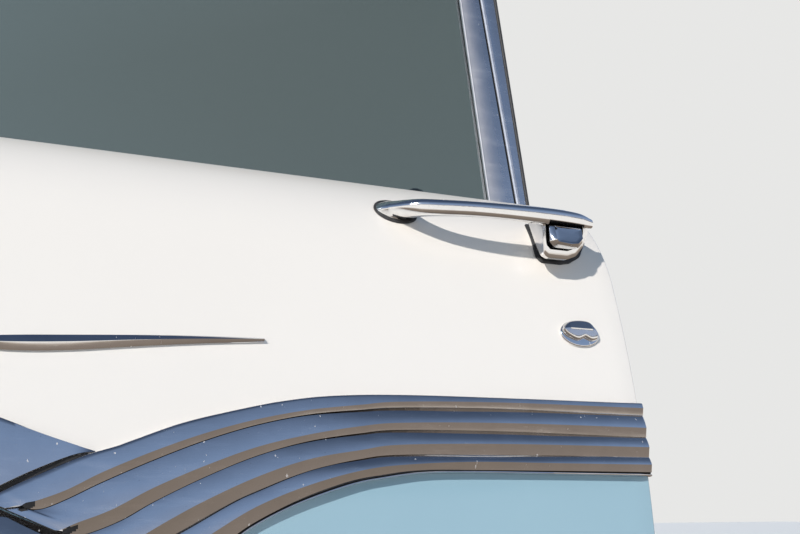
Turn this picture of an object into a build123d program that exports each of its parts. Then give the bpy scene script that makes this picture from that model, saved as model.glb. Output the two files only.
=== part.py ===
from build123d import *
import math
import os

os.makedirs("parts", exist_ok=True)

# Left front door of a two-door hardtop of the middle 1950s, with its hinges.
# Millimetres. +X rearward, +Y inboard, +Z up, so the outside faces -Y.
# Drawing frame: X = 0 is the door's rear edge, Z = 0 the lower edge of the
# ribbed moulding at the rear, Y = 0 about the outer surface there. The whole
# assembly is written out about the upper hinge's mounting face.

DOOR_LENGTH = 1180.0          # outer panel, front edge to rear edge
DOOR_BOTTOM = -375.0          # lowest point of the outer panel
SKIN = 2.0                    # outer panel thickness
SHELL = 2.0                   # inner shell thickness
HEM = 8.0                     # turned-in edge of the outer panel
GAP = 0.3                     # clearance between neighbouring solids

R_SIDE = 1070.0               # curve of the door's side
Y_WIDE, Z_WIDE = -10.0, -150.0  # widest point of the side
Z_SHOULDER = 180.0            # the side curve ends, the shoulder starts
R_SHOULDER = 161.0            # curve of the shoulder
Z_BELT = 270.0                # the shoulder ends, the belt edge starts
R_BELT = 9.0                  # rounded belt edge
R_TUCK = 40.0                 # rounded bottom edge
BELT_FLANGE = 30.0            # flange that drops beside the glass

Y_INNER = 165.0               # inner face of the inner shell
Y_CARD = 176.0                # inner face of the door card
SLOT_LIP = 149.0              # inboard side of the window slot
SLOT_FRONT, SLOT_REAR = -1022.0, -22.0

GLASS_Y, GLASS_Z = 134.0, 270.0   # outer face of the glass at belt height
GLASS_LEAN = 13.0                 # the glass leans inboard by this angle
GLASS_T = 6.0

HINGE_X, HINGE_Y = -1199.0, 30.0
HINGE_Z = {"upper": 120.0, "lower": -250.0}
PILLAR_FACE = -1215.0
PLATE_T = 6.0
PLATE_Y = (60.0, 130.0)
PLATE_H = 90.0
HOLE_DY, HOLE_DZ, HOLE_R = 40.0, 60.0, 4.5
KNUCKLE_R, PIN_R, PIN_FIT = 11.0, 5.0, 0.05
KNUCKLE_MID, KNUCKLE_END, KNUCKLE_GAP = 30.0, 18.0, 1.0

ORIGIN = (PILLAR_FACE, 0.5 * (PLATE_Y[0] + PLATE_Y[1]), HINGE_Z["upper"])

parts = {}


def keep(name, solid):
    parts[name] = solid


def box(x0, x1, y0, y1, z0, z1):
    return Pos((x0 + x1) / 2, (y0 + y1) / 2, (z0 + z1) / 2) * Box(
        abs(x1 - x0), abs(y1 - y0), abs(z1 - z0))


# ---------------------------------------------------------------- body lines
PHI0 = math.asin((Z_SHOULDER - Z_WIDE) / R_SIDE)
Y_SHOULDER = Y_WIDE + R_SIDE * (1 - math.cos(PHI0))
C_SIDE = (Y_WIDE + R_SIDE, Z_WIDE)
C_SHO = (Y_SHOULDER + R_SHOULDER * math.cos(PHI0),
         Z_SHOULDER - R_SHOULDER * math.sin(PHI0))
PHI1 = math.asin((Z_BELT - C_SHO[1]) / R_SHOULDER)
C_BELT = (C_SHO[0] - (R_SHOULDER - R_BELT) * math.cos(PHI1),
          C_SHO[1] + (R_SHOULDER - R_BELT) * math.sin(PHI1))


def tuck_angle():
    lo, hi = 0.0, 0.4
    for _ in range(60):
        a = (lo + hi) / 2
        z = C_SIDE[1] - (R_SIDE - R_TUCK) * math.sin(a) - R_TUCK
        if z > DOOR_BOTTOM:
            lo = a
        else:
            hi = a
    return (lo + hi) / 2


PHIT = tuck_angle()
C_TUCK = (C_SIDE[0] - (R_SIDE - R_TUCK) * math.cos(PHIT),
          C_SIDE[1] - (R_SIDE - R_TUCK) * math.sin(PHIT))


def on_arc(c, r, a):
    # a is the angle of the outward normal above the horizontal
    return (c[0] - r * math.cos(a), c[1] + r * math.sin(a))


def arc(c, r, a, b):
    return ThreePointArc(on_arc(c, r, a), on_arc(c, r, (a + b) / 2), on_arc(c, r, b))


def surface_y(z):
    if z <= Z_SHOULDER:
        return C_SIDE[0] - math.sqrt(R_SIDE ** 2 - (z - C_SIDE[1]) ** 2)
    return C_SHO[0] - math.sqrt(max(0.0, R_SHOULDER ** 2 - (z - C_SHO[1]) ** 2))


def surface_n(z):
    if z <= Z_SHOULDER:
        s = (z - C_SIDE[1]) / R_SIDE
    else:
        s = (z - C_SHO[1]) / R_SHOULDER
    return (-math.sqrt(1 - s * s), s)


def outline(d, last):
    """Outer line of the side, moved inboard by d, from the bottom up to the
    belt edge at the angle last, as a list of edges."""
    return [
        arc(C_TUCK, R_TUCK - d, -math.pi / 2, -PHIT),
        arc(C_SIDE, R_SIDE - d, -PHIT, PHI0),
        arc(C_SHO, R_SHOULDER - d, PHI0, PHI1),
        arc(C_BELT, R_BELT - d, PHI1, last),
    ]


def side_solid(d, x0, x1, y_in=Y_INNER):
    """Everything inboard of the side's outer line moved inboard by d."""
    e = outline(d, math.pi / 2)
    top = on_arc(C_BELT, R_BELT - d, math.pi / 2)
    low = on_arc(C_TUCK, R_TUCK - d, -math.pi / 2)
    e += [Line(top, (y_in, top[1])), Line((y_in, top[1]), (y_in, low[1])),
          Line((y_in, low[1]), low)]
    face = Plane.YZ * make_face(e)
    return Pos(x0, 0, 0) * extrude(face, amount=x1 - x0, dir=(1, 0, 0))


def layer(d_out, d_in, x0=-DOOR_LENGTH, x1=0.0):
    """A layer that follows the side between two offsets."""
    return side_solid(d_out, x0, x1) - side_solid(d_in, x0 - 1, x1 + 1, Y_INNER + 1)


def prism_xz(face, y0=-80.0, y1=160.0):
    """A face drawn in X and Z, extruded across the door."""
    f = Plane.XZ * face                       # normal is -Y
    return Pos(0, y1, 0) * extrude(f, amount=y1 - y0, dir=(0, -1, 0))


def closed(points, splines=()):
    """Closed face from a list of runs: ("line", pts) or ("spline", pts)."""
    e = []
    for kind, pts in points:
        if kind == "spline":
            e.append(Spline(*pts))
        else:
            for a, b in zip(pts, pts[1:]):
                e.append(Line(a, b))
    return make_face(e)


# ---------------------------------------------------------------- outer panel
lean = math.radians(GLASS_LEAN)
CURL = math.pi - lean


def panel_band(x0, x1):
    def path(d):
        e = outline(d, CURL)
        a = on_arc(C_BELT, R_BELT - d, CURL)
        b = (a[0] - BELT_FLANGE * math.sin(lean), a[1] - BELT_FLANGE * math.cos(lean))
        low = on_arc(C_TUCK, R_TUCK - d, -math.pi / 2)
        return [Line((70.0, low[1]), low)] + e + [Line(a, b)], (70.0, low[1]), b
    o, o0, o1 = path(0.0)
    i, i0, i1 = path(SKIN)
    f = Plane.YZ * make_face(o + [Line(o1, i1)] + i + [Line(i0, o0)])
    return Pos(x0, 0, 0) * extrude(f, amount=x1 - x0, dir=(1, 0, 0))


panel = panel_band(-DOOR_LENGTH, 0)
for x0, x1 in ((-DOOR_LENGTH, -DOOR_LENGTH + SKIN), (-SKIN, 0.0)):
    hem = layer(0.0, HEM, x0, x1) & box(x0, x1, -60, C_BELT[0] + 2, DOOR_BOTTOM, 280)
    panel = panel + hem
keep("outer_panel", panel)

# ---------------------------------------------------------------- inner shell
D_SHELL = SKIN + GAP
XS0, XS1 = -DOOR_LENGTH + SKIN + GAP, -SKIN - GAP
SHELL_FLANGE = 26.0
shell = side_solid(D_SHELL, XS0, XS1)
shell -= side_solid(D_SHELL + SHELL, XS0 + SHELL, XS1 - SHELL, Y_INNER - SHELL)
shell -= (box(XS0 + SHELL_FLANGE, XS1 - SHELL_FLANGE, -60, Y_INNER - SHELL - 20,
              DOOR_BOTTOM + 40, 300))
# window slot and the room for the outer panel's belt flange
shell -= box(-1300, 50, -60, 131.5, 226, 300)
shell -= box(SLOT_FRONT, SLOT_REAR, 100, SLOT_LIP, 200, 300)
shell += box(SLOT_FRONT, SLOT_REAR, SLOT_LIP, SLOT_LIP + SHELL, 232, 268.5)
keep("inner_shell", shell)

# ---------------------------------------------------------------- glass plane
GP = Plane(origin=(0, GLASS_Y, GLASS_Z), x_dir=(1, 0, 0),
           z_dir=(0, -math.cos(lean), math.sin(lean)))


def in_glass(face, n0, n1):
    """A face drawn in the glass plane (X, height up the glass), between two
    depths measured outward from the glass's outer face."""
    return extrude(GP * (Pos(0, 0, n0) * face), amount=n1 - n0,
                   dir=tuple(GP.z_dir))


CHANNEL_X = (-81.0, -56.0)       # the bar that holds the glass
MEETING_X = (-56.0, -31.5)       # the narrower strip behind it
DIVISION_X = (-792.0, -774.0)
GLASS_LOW = -58.0
GLASS_TOP = [(-772.0, 281.0), (-600.0, 287.0), (-430.0, 287.0), (-250.0, 282.0), (-70.0, 270.0)]
glass = closed([("line", [(-70.0, 270.0), (-70.0, GLASS_LOW), (-772.0, GLASS_LOW), (-772.0, 281.0)]),
                ("spline", GLASS_TOP)])
glass = in_glass(glass, -GLASS_T, 0)
keep("door_glass", glass)



def bar(x0, x1, s0, s1a, s1b, n0, n1):
    """Upright bar in the glass plane: X range, foot, top at its two edges, depths."""
    return in_glass(closed([("line", [(x0, s0), (x1, s0), (x1, s1b), (x0, s1a), (x0, s0)])]), n0, n1)


channel = bar(*CHANNEL_X, GLASS_LOW, 273.0, 271.0, -GLASS_T - 4.0, 4.0)
channel += bar(*MEETING_X, GLASS_LOW + 28.0, 271.0, 269.0, -GLASS_T - 4.0, 1.5)
channel -= bar(MEETING_X[0] - 1.0, MEETING_X[0] + 1.6, GLASS_LOW + 10.0, 300.0, 300.0, -1.0, 8.0)
channel -= bar(CHANNEL_X[0] - 5.0, -69.7, GLASS_LOW - 1.0, 300.0, 300.0, -GLASS_T - 0.3, 0.3)
keep("glass_rear_channel", channel)

division = in_glass(closed([("line", [(DIVISION_X[0], -34.0), (DIVISION_X[1], -34.0),
                                      (DIVISION_X[1], 281.0), (DIVISION_X[0], 280.0),
                                      (DIVISION_X[0], -34.0)])]), -GLASS_T - 4.0, 4.0)
division -= in_glass(closed([("line", [(-780.0, -70.0), (-700.0, -70.0), (-700.0, 300.0),
                                       (-780.0, 300.0), (-780.0, -70.0)])]),
                     -GLASS_T - 0.4, 0.4)
keep("division_bar", division)

# vent window: outline of the frame's outer edge in the glass plane
VENT = [(-793.0, 4.0), (-793.0, 279.0), (-985.0, 262.0), (-1012.0, 236.0), (-1004.0, 4.0)]
VENT_BAR = 13.0


def vent_face(inset):
    w = Polyline(*VENT, VENT[0])
    f = make_face(w)
    if inset:
        f = offset(f, amount=-inset, kind=Kind.INTERSECTION)
    return f


frame_solid = in_glass(vent_face(0), -GLASS_T - 4.0, 4.0) - in_glass(
    vent_face(VENT_BAR), -GLASS_T - 6.0, 6.0)
frame_solid -= in_glass(vent_face(VENT_BAR - 5.0), -GLASS_T + 0.2, -0.2 - 0.6)
keep("vent_frame", frame_solid)
vent_glass = in_glass(vent_face(VENT_BAR - 4.6), -GLASS_T + 0.5, -1.1)
keep("vent_glass", vent_glass)
latch = in_glass(Pos(-815.0, 118.0) * Rectangle(26.0, 14.0), -GLASS_T - 16.0, -GLASS_T - 4.3)
latch += in_glass(Pos(-827.0, 112.0) * Rectangle(10.0, 46.0), -GLASS_T - 22.0, -GLASS_T - 16.0)
keep("vent_latch", latch)

# post that carries the vent frame's foot on the door
foot = box(-1010, -786, 131.9, 148.6, 255.0, 272.0) - in_glass(
    closed([("line", [(-1100, 3.7), (-700, 3.7), (-700, 60), (-1100, 60), (-1100, 3.7)])]), -30, 30)
foot -= in_glass(closed([("line", [(-792.4, -80), (-700, -80), (-700, 80), (-792.4, 80), (-792.4, -80)])]), -30, 30)
keep("vent_sill", foot)

# ---------------------------------------------------------------- belt seals
seal_out = in_glass(closed([("line", [(-772.0, -26.0), (-55.0, -26.0), (-55.0, -2.0),
                                      (-772.0, -2.0), (-772.0, -26.0)])]), 0.4, 3.0)
seal_out -= in_glass(closed([("line", [(CHANNEL_X[0] - 0.4, -60.0), (-40.0, -60.0), (-40.0, 10.0),
                                       (CHANNEL_X[0] - 0.4, 10.0), (CHANNEL_X[0] - 0.4, -60.0)])]), -2, 8)
keep("outer_belt_seal", seal_out)
seal_in = in_glass(closed([("line", [(-772.0, -24.0), (-82.0, -24.0), (-82.0, 0.0),
                                     (-772.0, 0.0), (-772.0, -24.0)])]), -GLASS_T - 6.0, -GLASS_T - 0.4)
keep("inner_belt_seal", seal_in)

# ---------------------------------------------------------------- mouldings
# Lines of the mouldings, X against Z, front to rear.
SPEAR_TOP = [(-1179.0, 188.0), (-1020.0, 160.0), (-860.0, 124.0), (-700.0, 84.0),
             (-600.0, 55.0), (-546.0, 38.0), (-511.0, 27.0), (-487.0, 18.6)]
SPEAR_LOW = [(-1179.0, 140.0), (-1020.0, 103.0), (-860.0, 59.0), (-700.0, 9.0),
             (-600.0, -22.0), (-520.0, -51.0), (-443.0, -82.0)]
CREASE = [(-556.0, -17.0), (-528.0, -28.5), (-500.0, -39.0), (-460.0, -54.0), (-420.0, -70.5)]
RIB_TOP = [(-556.0, -17.0), (-543.0, -11.0), (-524.0, -3.0), (-505.0, 5.0), (-484.0, 14.5),
           (-458.0, 23.5), (-421.0, 37.0), (-382.0, 47.0), (-341.0, 56.0), (-298.0, 62.0),
           (-238.0, 65.5), (-142.0, 67.0), (-1.0, 67.5)]
RIB_LOW = [(-420.0, -70.5), (-395.0, -56.0), (-369.0, -39.4), (-334.0, -23.0), (-292.0, -9.2),
           (-262.0, -3.0), (-228.0, 1.0), (-180.0, 2.5), (-90.0, 2.6), (-1.0, 2.6)]
GROOVES = [   # bottoms of the three grooves, rounded end first
    [(-528.0, -23.0), (-500.0, -17.0), (-476.0, -6.0), (-440.0, 9.0), (-402.0, 24.0),
     (-362.0, 37.0), (-320.0, 46.5), (-277.0, 53.0), (-239.0, 55.5), (-140.0, 56.6), (0.0, 56.6)],
    [(-500.0, -38.5), (-476.0, -36.0), (-439.0, -19.0), (-402.0, -2.5), (-363.0, 13.0),
     (-322.0, 25.0), (-278.0, 32.6), (-241.0, 36.6), (-140.0, 37.9), (0.0, 37.0)],
    [(-458.0, -57.0), (-438.0, -49.5), (-417.0, -38.6), (-383.0, -21.5), (-364.0, -13.0),
     (-323.0, 2.5), (-280.0, 12.8), (-242.0, 17.2), (-140.0, 19.0), (0.0, 19.2)],
]
TRIM_GAP = 0.2        # mouldings stand this clear of the paint
TRIM_PROUD = 7.0
GROOVE_DEPTH = 3.2
GROOVE_W = 3.2

rib_face = closed([("spline", RIB_TOP), ("line", [RIB_TOP[-1], RIB_LOW[-1]]),
                   ("spline", RIB_LOW[::-1]), ("spline", CREASE[::-1])])
# a spline that runs through every point of CREASE closes the region at its front
rib_low = layer(-(TRIM_PROUD - GROOVE_DEPTH), -TRIM_GAP)
rib_full = layer(-TRIM_PROUD, -TRIM_GAP)
rib_prism = prism_xz(rib_face, -40, 100)
ribbed = rib_full & rib_prism
ring = layer(-TRIM_PROUD - 1.0, -(TRIM_PROUD - GROOVE_DEPTH))
for line in GROOVES:
    up = [(x, z + GROOVE_W / 2) for x, z in line]
    dn = [(x, z - GROOVE_W / 2) for x, z in line]
    g = closed([("spline", up), ("line", [up[-1], dn[-1]]), ("spline", dn[::-1]),
                ("line", [dn[0], up[0]])])
    ribbed = ribbed - (ring & prism_xz(g, -40, 100))
keep("ribbed_side_trim", ribbed)

spear_cut = [(x, z) for x, z in RIB_TOP[:5]]
spear_face = closed([
    ("spline", SPEAR_TOP),
    ("line", [SPEAR_TOP[-1], (-484.6, 15.1)]),
    ("spline", [(-484.6, 15.1)] + [(x - 0.25, z + 0.45) for x, z in RIB_TOP[3:0:-1]] + [(-556.6, -17.0)]),
    ("spline", [(-556.6, -17.0)] + [(x - 0.2, z - 0.45) for x, z in CREASE[1:-1]] + [(-420.6, -71.3)]),
    ("line", [(-420.6, -71.3), SPEAR_LOW[-1]]),
    ("spline", SPEAR_LOW[::-1]),
    ("line", [SPEAR_LOW[0], SPEAR_TOP[0]]),
])
spear = layer(-TRIM_PROUD, -TRIM_GAP) & prism_xz(spear_face, -40, 120)
keep("spear_side_trim", spear)

# slender dart ornament above the moulding
DART = [(-604.0, 90.0), (-500.0, 99.0), (-354.0, 105.5), (-354.0, 102.0), (-500.0, 86.5), (-560.0, 84.0)]
dart_face = make_face(Polyline(*DART, DART[0]))
dart = layer(-3.6, -TRIM_GAP) & prism_xz(dart_face, -40, 120)
keep("door_ornament", dart)

# ---------------------------------------------------------------- outer handle
# Grip sections: centre X, Y, Z; turn about Z from the YZ plane; across, thick
GRIP = [
    # x       y      z      yaw   height  thick  round
    (-214.0, 86.0, 236.0, -90.0, 18.0, 35.0, 8.5),
    (-211.5, 64.0, 235.0, -79.0, 17.0, 31.0, 8.0),
    (-204.0, 48.5, 233.8, -56.0, 15.5, 23.0, 7.0),
    (-187.0, 36.2, 232.7, -26.0, 14.5, 17.0, 6.5),
    (-157.0, 29.0, 233.0, -8.0, 14.0, 15.5, 6.2),
    (-118.0, 26.8, 233.7, 0.0, 14.5, 15.5, 6.2),
    (-80.0, 27.4, 234.3, 2.0, 15.5, 15.5, 6.4),
    (-50.0, 29.3, 234.2, 5.0, 14.5, 15.0, 6.0),
    (-33.0, 32.0, 234.0, 7.0, 9.0, 9.5, 4.2),
]
faces = []
for x, y, z, yaw, h, t, r in GRIP:
    pl = Plane(origin=(x, y, z), x_dir=Vector(0, 1, 0).rotate(Axis.Z, yaw),
               z_dir=Vector(1, 0, 0).rotate(Axis.Z, yaw))
    faces.append(pl * RectangleRounded(t, h, r))
grip = loft(faces)
HANDLE_OFF = 2.0              # the handle's feet stand on gaskets, this clear of the paint
grip -= side_solid(-HANDLE_OFF, -400, 0)
# rear base: outlines at the panel and at its outer rim, the same points
BASE_Y0, BASE_Y1 = 84.0, 27.2
BASE_PANEL = [(-74.0, 239.0), (-71.0, 217.0), (-67.5, 205.5), (-63.0, 201.5), (-47.0, 201.5),
              (-34.0, 206.0), (-22.0, 217.0), (-14.0, 229.0), (-16.0, 240.0)]
BASE_RIM = [(-87.5, 234.0), (-87.5, 214.0), (-86.5, 199.5), (-82.0, 196.8), (-62.0, 197.0),
            (-52.0, 201.0), (-44.5, 210.0), (-38.0, 225.0), (-38.0, 237.0)]
base = loft([Plane.XZ.offset(-BASE_Y0) * make_face(Polyline(*BASE_PANEL, BASE_PANEL[0])),
             Plane.XZ.offset(-BASE_Y1) * make_face(Polyline(*BASE_RIM, BASE_RIM[0]))], ruled=True)
base -= side_solid(-HANDLE_OFF, -400, 0)
# push button: rounded four-sided plunger in a pocket of the base
BUTTON = [(-81.0, 225.0), (-81.0, 211.0), (-76.5, 206.8), (-61.5, 206.8), (-54.0, 210.0),
          (-48.5, 216.0), (-45.8, 225.0)]
BUTTON_FACE_Y, BUTTON_BACK_Y, POCKET_Y = 20.5, 43.0, 44.0
POCKET = [(-84.0, 224.5), (-84.0, 209.3), (-77.8, 204.9), (-60.8, 204.9), (-52.6, 208.4),
          (-46.6, 215.0), (-43.6, 225.5), (-47.0, 229.6), (-74.0, 231.6), (-80.0, 229.6)]
button_face = make_face(Polyline(*BUTTON, BUTTON[0]))
pocket = Pos(0, POCKET_Y, 0) * extrude(Plane.XZ * make_face(Polyline(*POCKET, POCKET[0])),
                                       amount=40.0, dir=(0, -1, 0))
base -= pocket
grip -= pocket
grip = grip + base
keep("handle_grip", grip)
button = Pos(0, BUTTON_BACK_Y, 0) * extrude(Plane.XZ * button_face,
                                            amount=BUTTON_BACK_Y - BUTTON_FACE_Y, dir=(0, -1, 0))
keep("push_button", button)

GASKET_T = 1.8
g_front = layer(-GASKET_T, -TRIM_GAP) & prism_xz(Pos(-214.0, 236.0) * Ellipse(20.0, 11.5), 0, 120)
keep("handle_front_gasket", g_front)
BASE_FOOT = [(-76.2, 238.2), (-78.6, 215.6), (-78.8, 201.9), (-74.8, 198.6), (-56.3, 198.7),
             (-44.5, 203.1), (-32.8, 213.6), (-21.5, 227.7), (-19.1, 239.6)]
BASE_GASKET = offset(make_face(Polyline(*BASE_FOOT, BASE_FOOT[0])), amount=1.4, kind=Kind.ARC)
g_rear = layer(-GASKET_T, -TRIM_GAP) & prism_xz(BASE_GASKET, 0, 120)
keep("handle_rear_gasket", g_rear)

# key cover: a base plate and the swinging cover, shown closed
KEY = (-51.0, 129.0)
key_plate = layer(-2.2, -TRIM_GAP) & prism_xz(Pos(*KEY) * Ellipse(21.0, 12.5), -20, 100)
keep("key_base", key_plate)
COVER = [(-71.0, 131.0), (-68.0, 136.5), (-60.0, 140.5), (-48.0, 142.0), (-38.5, 141.0),
         (-33.5, 135.0), (-31.5, 127.0), (-36.0, 122.8), (-41.5, 122.2), (-48.0, 124.4),
         (-56.0, 122.2), (-66.0, 125.2)]
key_cover = layer(-6.4, -2.5) & prism_xz(make_face(Spline(*COVER, COVER[0], periodic=False)), -20, 100)
keep("key_cover", key_cover)

# ---------------------------------------------------------------- hinges
mid, end, gap = KNUCKLE_MID, KNUCKLE_END, KNUCKLE_GAP
for which, z in HINGE_Z.items():
    px0, px1 = PILLAR_FACE, PILLAR_FACE + PLATE_T
    leaf = box(px0, px1, PLATE_Y[0], PLATE_Y[1], z - PLATE_H / 2, z + PLATE_H / 2)
    for s in (-1, 1):
        zc = z + s * (mid / 2 + gap + end / 2)
        leaf += box(px0, HINGE_X - 4, HINGE_Y, PLATE_Y[0] + 4, zc - end / 2, zc + end / 2)
        leaf += Pos(HINGE_X, HINGE_Y, zc) * Cylinder(KNUCKLE_R, end)
        leaf -= Pos(HINGE_X, HINGE_Y, zc) * Cylinder(PIN_R + 0.02, end + 2)
    for sy in (-1, 1):
        for sz in (-1, 1):
            leaf -= (Pos((px0 + px1) / 2, ORIGIN[1] + sy * HOLE_DY / 2, z + sz * HOLE_DZ / 2)
                     * Rot(0, 90, 0) * Cylinder(HOLE_R, PLATE_T * 3))
    keep(f"pillar_hinge_leaf_{which}", leaf)

    total = mid + 2 * gap + 2 * end
    pin = Pos(HINGE_X, HINGE_Y, z) * Cylinder(PIN_R, total + 2.0)
    for s in (-1, 1):
        pin += Pos(HINGE_X, HINGE_Y, z + s * (total / 2 + 2.0)) * Cylinder(PIN_R + 2.0, 3.0)
    keep(f"hinge_pin_{which}", pin)

    door_x = -DOOR_LENGTH - 0.2
    dleaf = box(door_x - PLATE_T, door_x, 44, 118, z - 38, z + 38)
    dleaf += box(HINGE_X, door_x, HINGE_Y - 6, 60, z - mid / 2, z + mid / 2)
    dleaf += Pos(HINGE_X, HINGE_Y, z) * Cylinder(KNUCKLE_R, mid)
    dleaf -= Pos(HINGE_X, HINGE_Y, z) * Cylinder(PIN_R + PIN_FIT, mid + 2)
    keep(f"door_hinge_leaf_{which}", dleaf)

# ---------------------------------------------------------------- rear edge
latch = box(XS1 + 0.2, XS1 + 4.2, 92, 150, 112, 190)
latch += Pos(XS1 + 9.0, 118, 158) * Rot(0, 90, 0) * Cylinder(14.0, 12.0)
latch += box(XS1 + 0.2, XS1 + 14.0, 128, 146, 128, 176)
keep("door_latch", latch)
wedge = extrude(Plane.YZ * make_face(Polyline((95, 40), (150, 44), (150, 76), (95, 80), (95, 40))),
                amount=11.0, dir=(1, 0, 0))
keep("door_dovetail", Pos(XS1 + 0.2, 0, 0) * wedge)

# ---------------------------------------------------------------- weatherstrip
WS_T, WS_W = 9.0, 12.0
ws = box(-24, -24 + WS_W, Y_INNER + 0.2, Y_INNER + WS_T, -356, 250)
ws += box(-1168, -24 + WS_W, Y_INNER + 0.2, Y_INNER + WS_T, -368, -356)
ws += box(-1168, -1168 + WS_W, Y_INNER + 0.2, Y_INNER + WS_T, -368, 250)
keep("door_weatherstrip", ws)
for which, z in (("upper", 210.0), ("lower", -300.0)):
    b = Pos(XS1 + 0.2 + 4.0, 130, z) * Rot(0, 90, 0) * Cylinder(10.0, 8.0)
    keep(f"door_bumper_{which}", b)

# ---------------------------------------------------------------- inside
CARD_X = (-1140.0, -36.0)
CARD_Z = (-345.0, 226.0)
card = box(CARD_X[0], CARD_X[1], Y_INNER + GAP, Y_CARD, CARD_Z[0], CARD_Z[1])
card = fillet(card.edges().filter_by(Axis.Y), 28.0)
keep("trim_panel", card)

garnish_pts = [(SLOT_LIP + SHELL + 0.4, 269.2), (SLOT_LIP + SHELL + 0.4, 279.0), (158.0, 284.0), (172.0, 281.0),
               (181.0, 266.0), (183.0, 242.0), (176.0, 230.0), (Y_INNER + GAP, 230.0), (Y_INNER + GAP, 269.2)]
garnish = extrude(Plane.YZ * make_face(Polyline(*garnish_pts, garnish_pts[0])), amount=1108.0, dir=(1, 0, 0))
garnish = Pos(-1142.0, 0, 0) * garnish
garnish -= in_glass(closed([("line", [(-1015.0, -60.0), (-770.0, -60.0), (-770.0, 60.0),
                                      (-1015.0, 60.0), (-1015.0, -60.0)])]), -GLASS_T - 4.4, 10.0)
keep("garnish_moulding", garnish)

# padded armrest on the door card
arm = [(Y_CARD + GAP, -62.0), (Y_CARD + GAP, 8.0), (232.0, 14.0), (243.0, 4.0), (243.0, -12.0), (214.0, -52.0)]
armrest = extrude(Plane.YZ * make_face(Polyline(*arm, arm[0])), amount=330.0, dir=(1, 0, 0))
armrest = Pos(-700.0, 0, 0) * armrest
armrest = fillet(armrest.edges().filter_by(lambda e: abs(e.center().X + 535) < 1 and e.center().Y > 200), 8.0)
keep("armrest", armrest)

# window crank: boss, arm and knob
CRANK = (-640.0, 96.0)
crank = Pos(CRANK[0], Y_CARD + GAP + 6.0, CRANK[1]) * Rot(90, 0, 0) * Cylinder(21.0, 12.0)
crank += Pos(CRANK[0] + 48.0, Y_CARD + GAP + 15.0, CRANK[1]) * Box(112.0, 8.0, 15.0)
crank += Pos(CRANK[0] + 98.0, Y_CARD + GAP + 34.0, CRANK[1]) * Rot(90, 0, 0) * Cylinder(11.0, 32.0)
keep("window_crank", crank)
# inner release handle: boss and lever
REL = (-300.0, 120.0)
rel = Pos(REL[0], Y_CARD + GAP + 6.0, REL[1]) * Rot(90, 0, 0) * Cylinder(19.0, 12.0)
rel += Pos(REL[0] - 48.0, Y_CARD + GAP + 18.0, REL[1] - 3.0) * Rot(0, 4, 0) * Box(110.0, 12.0, 18.0)
keep("inner_release_handle", rel)
knob = Pos(-150.0, 166.0, 287.6) * Cylinder(5.0, 6.0)      # pushed down, as locked
knob += Pos(-150.0, 166.0, 285.2) * Cylinder(9.0, 1.6)
keep("lock_knob", knob)

# ---------------------------------------------------------------- write
shift = Pos(-ORIGIN[0], -ORIGIN[1], -ORIGIN[2])
for name, solid in parts.items():
    s = shift * solid
    export_step(s, f"parts/{name}.step")
    b = s.bounding_box()
    print(f"{name:26s} {len(s.solids())} solid  vol {s.volume / 1000:9.2f} cm3  "
          f"x {b.min.X:8.1f} {b.max.X:8.1f}  y {b.min.Y:7.1f} {b.max.Y:7.1f}  z {b.min.Z:7.1f} {b.max.Z:7.1f}")
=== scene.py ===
import bpy
import math
import numpy as np
from mathutils import Vector, Matrix


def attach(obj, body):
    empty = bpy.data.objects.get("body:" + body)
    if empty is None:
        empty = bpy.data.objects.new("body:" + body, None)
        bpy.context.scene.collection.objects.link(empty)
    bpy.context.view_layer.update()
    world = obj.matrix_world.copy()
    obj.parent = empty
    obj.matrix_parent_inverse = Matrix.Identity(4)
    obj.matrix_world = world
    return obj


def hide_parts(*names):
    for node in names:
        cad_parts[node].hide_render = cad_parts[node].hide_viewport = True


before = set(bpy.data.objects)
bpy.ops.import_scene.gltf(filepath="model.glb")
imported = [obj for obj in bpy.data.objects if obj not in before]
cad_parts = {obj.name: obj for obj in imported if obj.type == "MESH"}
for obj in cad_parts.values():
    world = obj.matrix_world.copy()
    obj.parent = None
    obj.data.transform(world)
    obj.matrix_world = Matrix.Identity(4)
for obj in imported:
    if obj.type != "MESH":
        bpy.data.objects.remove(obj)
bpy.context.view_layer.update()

# The shapes are drawn in millimetres in the door's drawing frame: X = 0 at the
# rear edge, Z = 0 at the ribbed moulding's lower edge. S shifts them into the frame.
S = np.array([1215.0, -95.0, -120.0])


def M(p):
    return (np.asarray(p, float) + S) / 1000.0


# ------------------------------------------------------------ door side profile
R_SIDE, Y_WIDE, Z_WIDE = 1070.0, -10.0, -150.0
Z_SHOULDER, R_SHOULDER, Z_BELT, R_BELT, R_TUCK = 180.0, 161.0, 270.0, 9.0, 40.0
BOTTOM, LENGTH, LEAN = -375.0, 1180.0, math.radians(13.0)
PHI0 = math.asin((Z_SHOULDER - Z_WIDE) / R_SIDE)
C_SIDE = np.array([Y_WIDE + R_SIDE, Z_WIDE])
C_SHO = np.array([Y_WIDE + R_SIDE * (1 - math.cos(PHI0)) + R_SHOULDER * math.cos(PHI0),
                  Z_SHOULDER - R_SHOULDER * math.sin(PHI0)])
PHI1 = math.asin((Z_BELT - C_SHO[1]) / R_SHOULDER)
C_BELT = np.array([C_SHO[0] - (R_SHOULDER - R_BELT) * math.cos(PHI1),
                   C_SHO[1] + (R_SHOULDER - R_BELT) * math.sin(PHI1)])
PHIT = math.asin((Z_WIDE - BOTTOM - R_TUCK) / (R_SIDE - R_TUCK))
C_TUCK = np.array([C_SIDE[0] - (R_SIDE - R_TUCK) * math.cos(PHIT),
                   C_SIDE[1] - (R_SIDE - R_TUCK) * math.sin(PHIT)])


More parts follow.
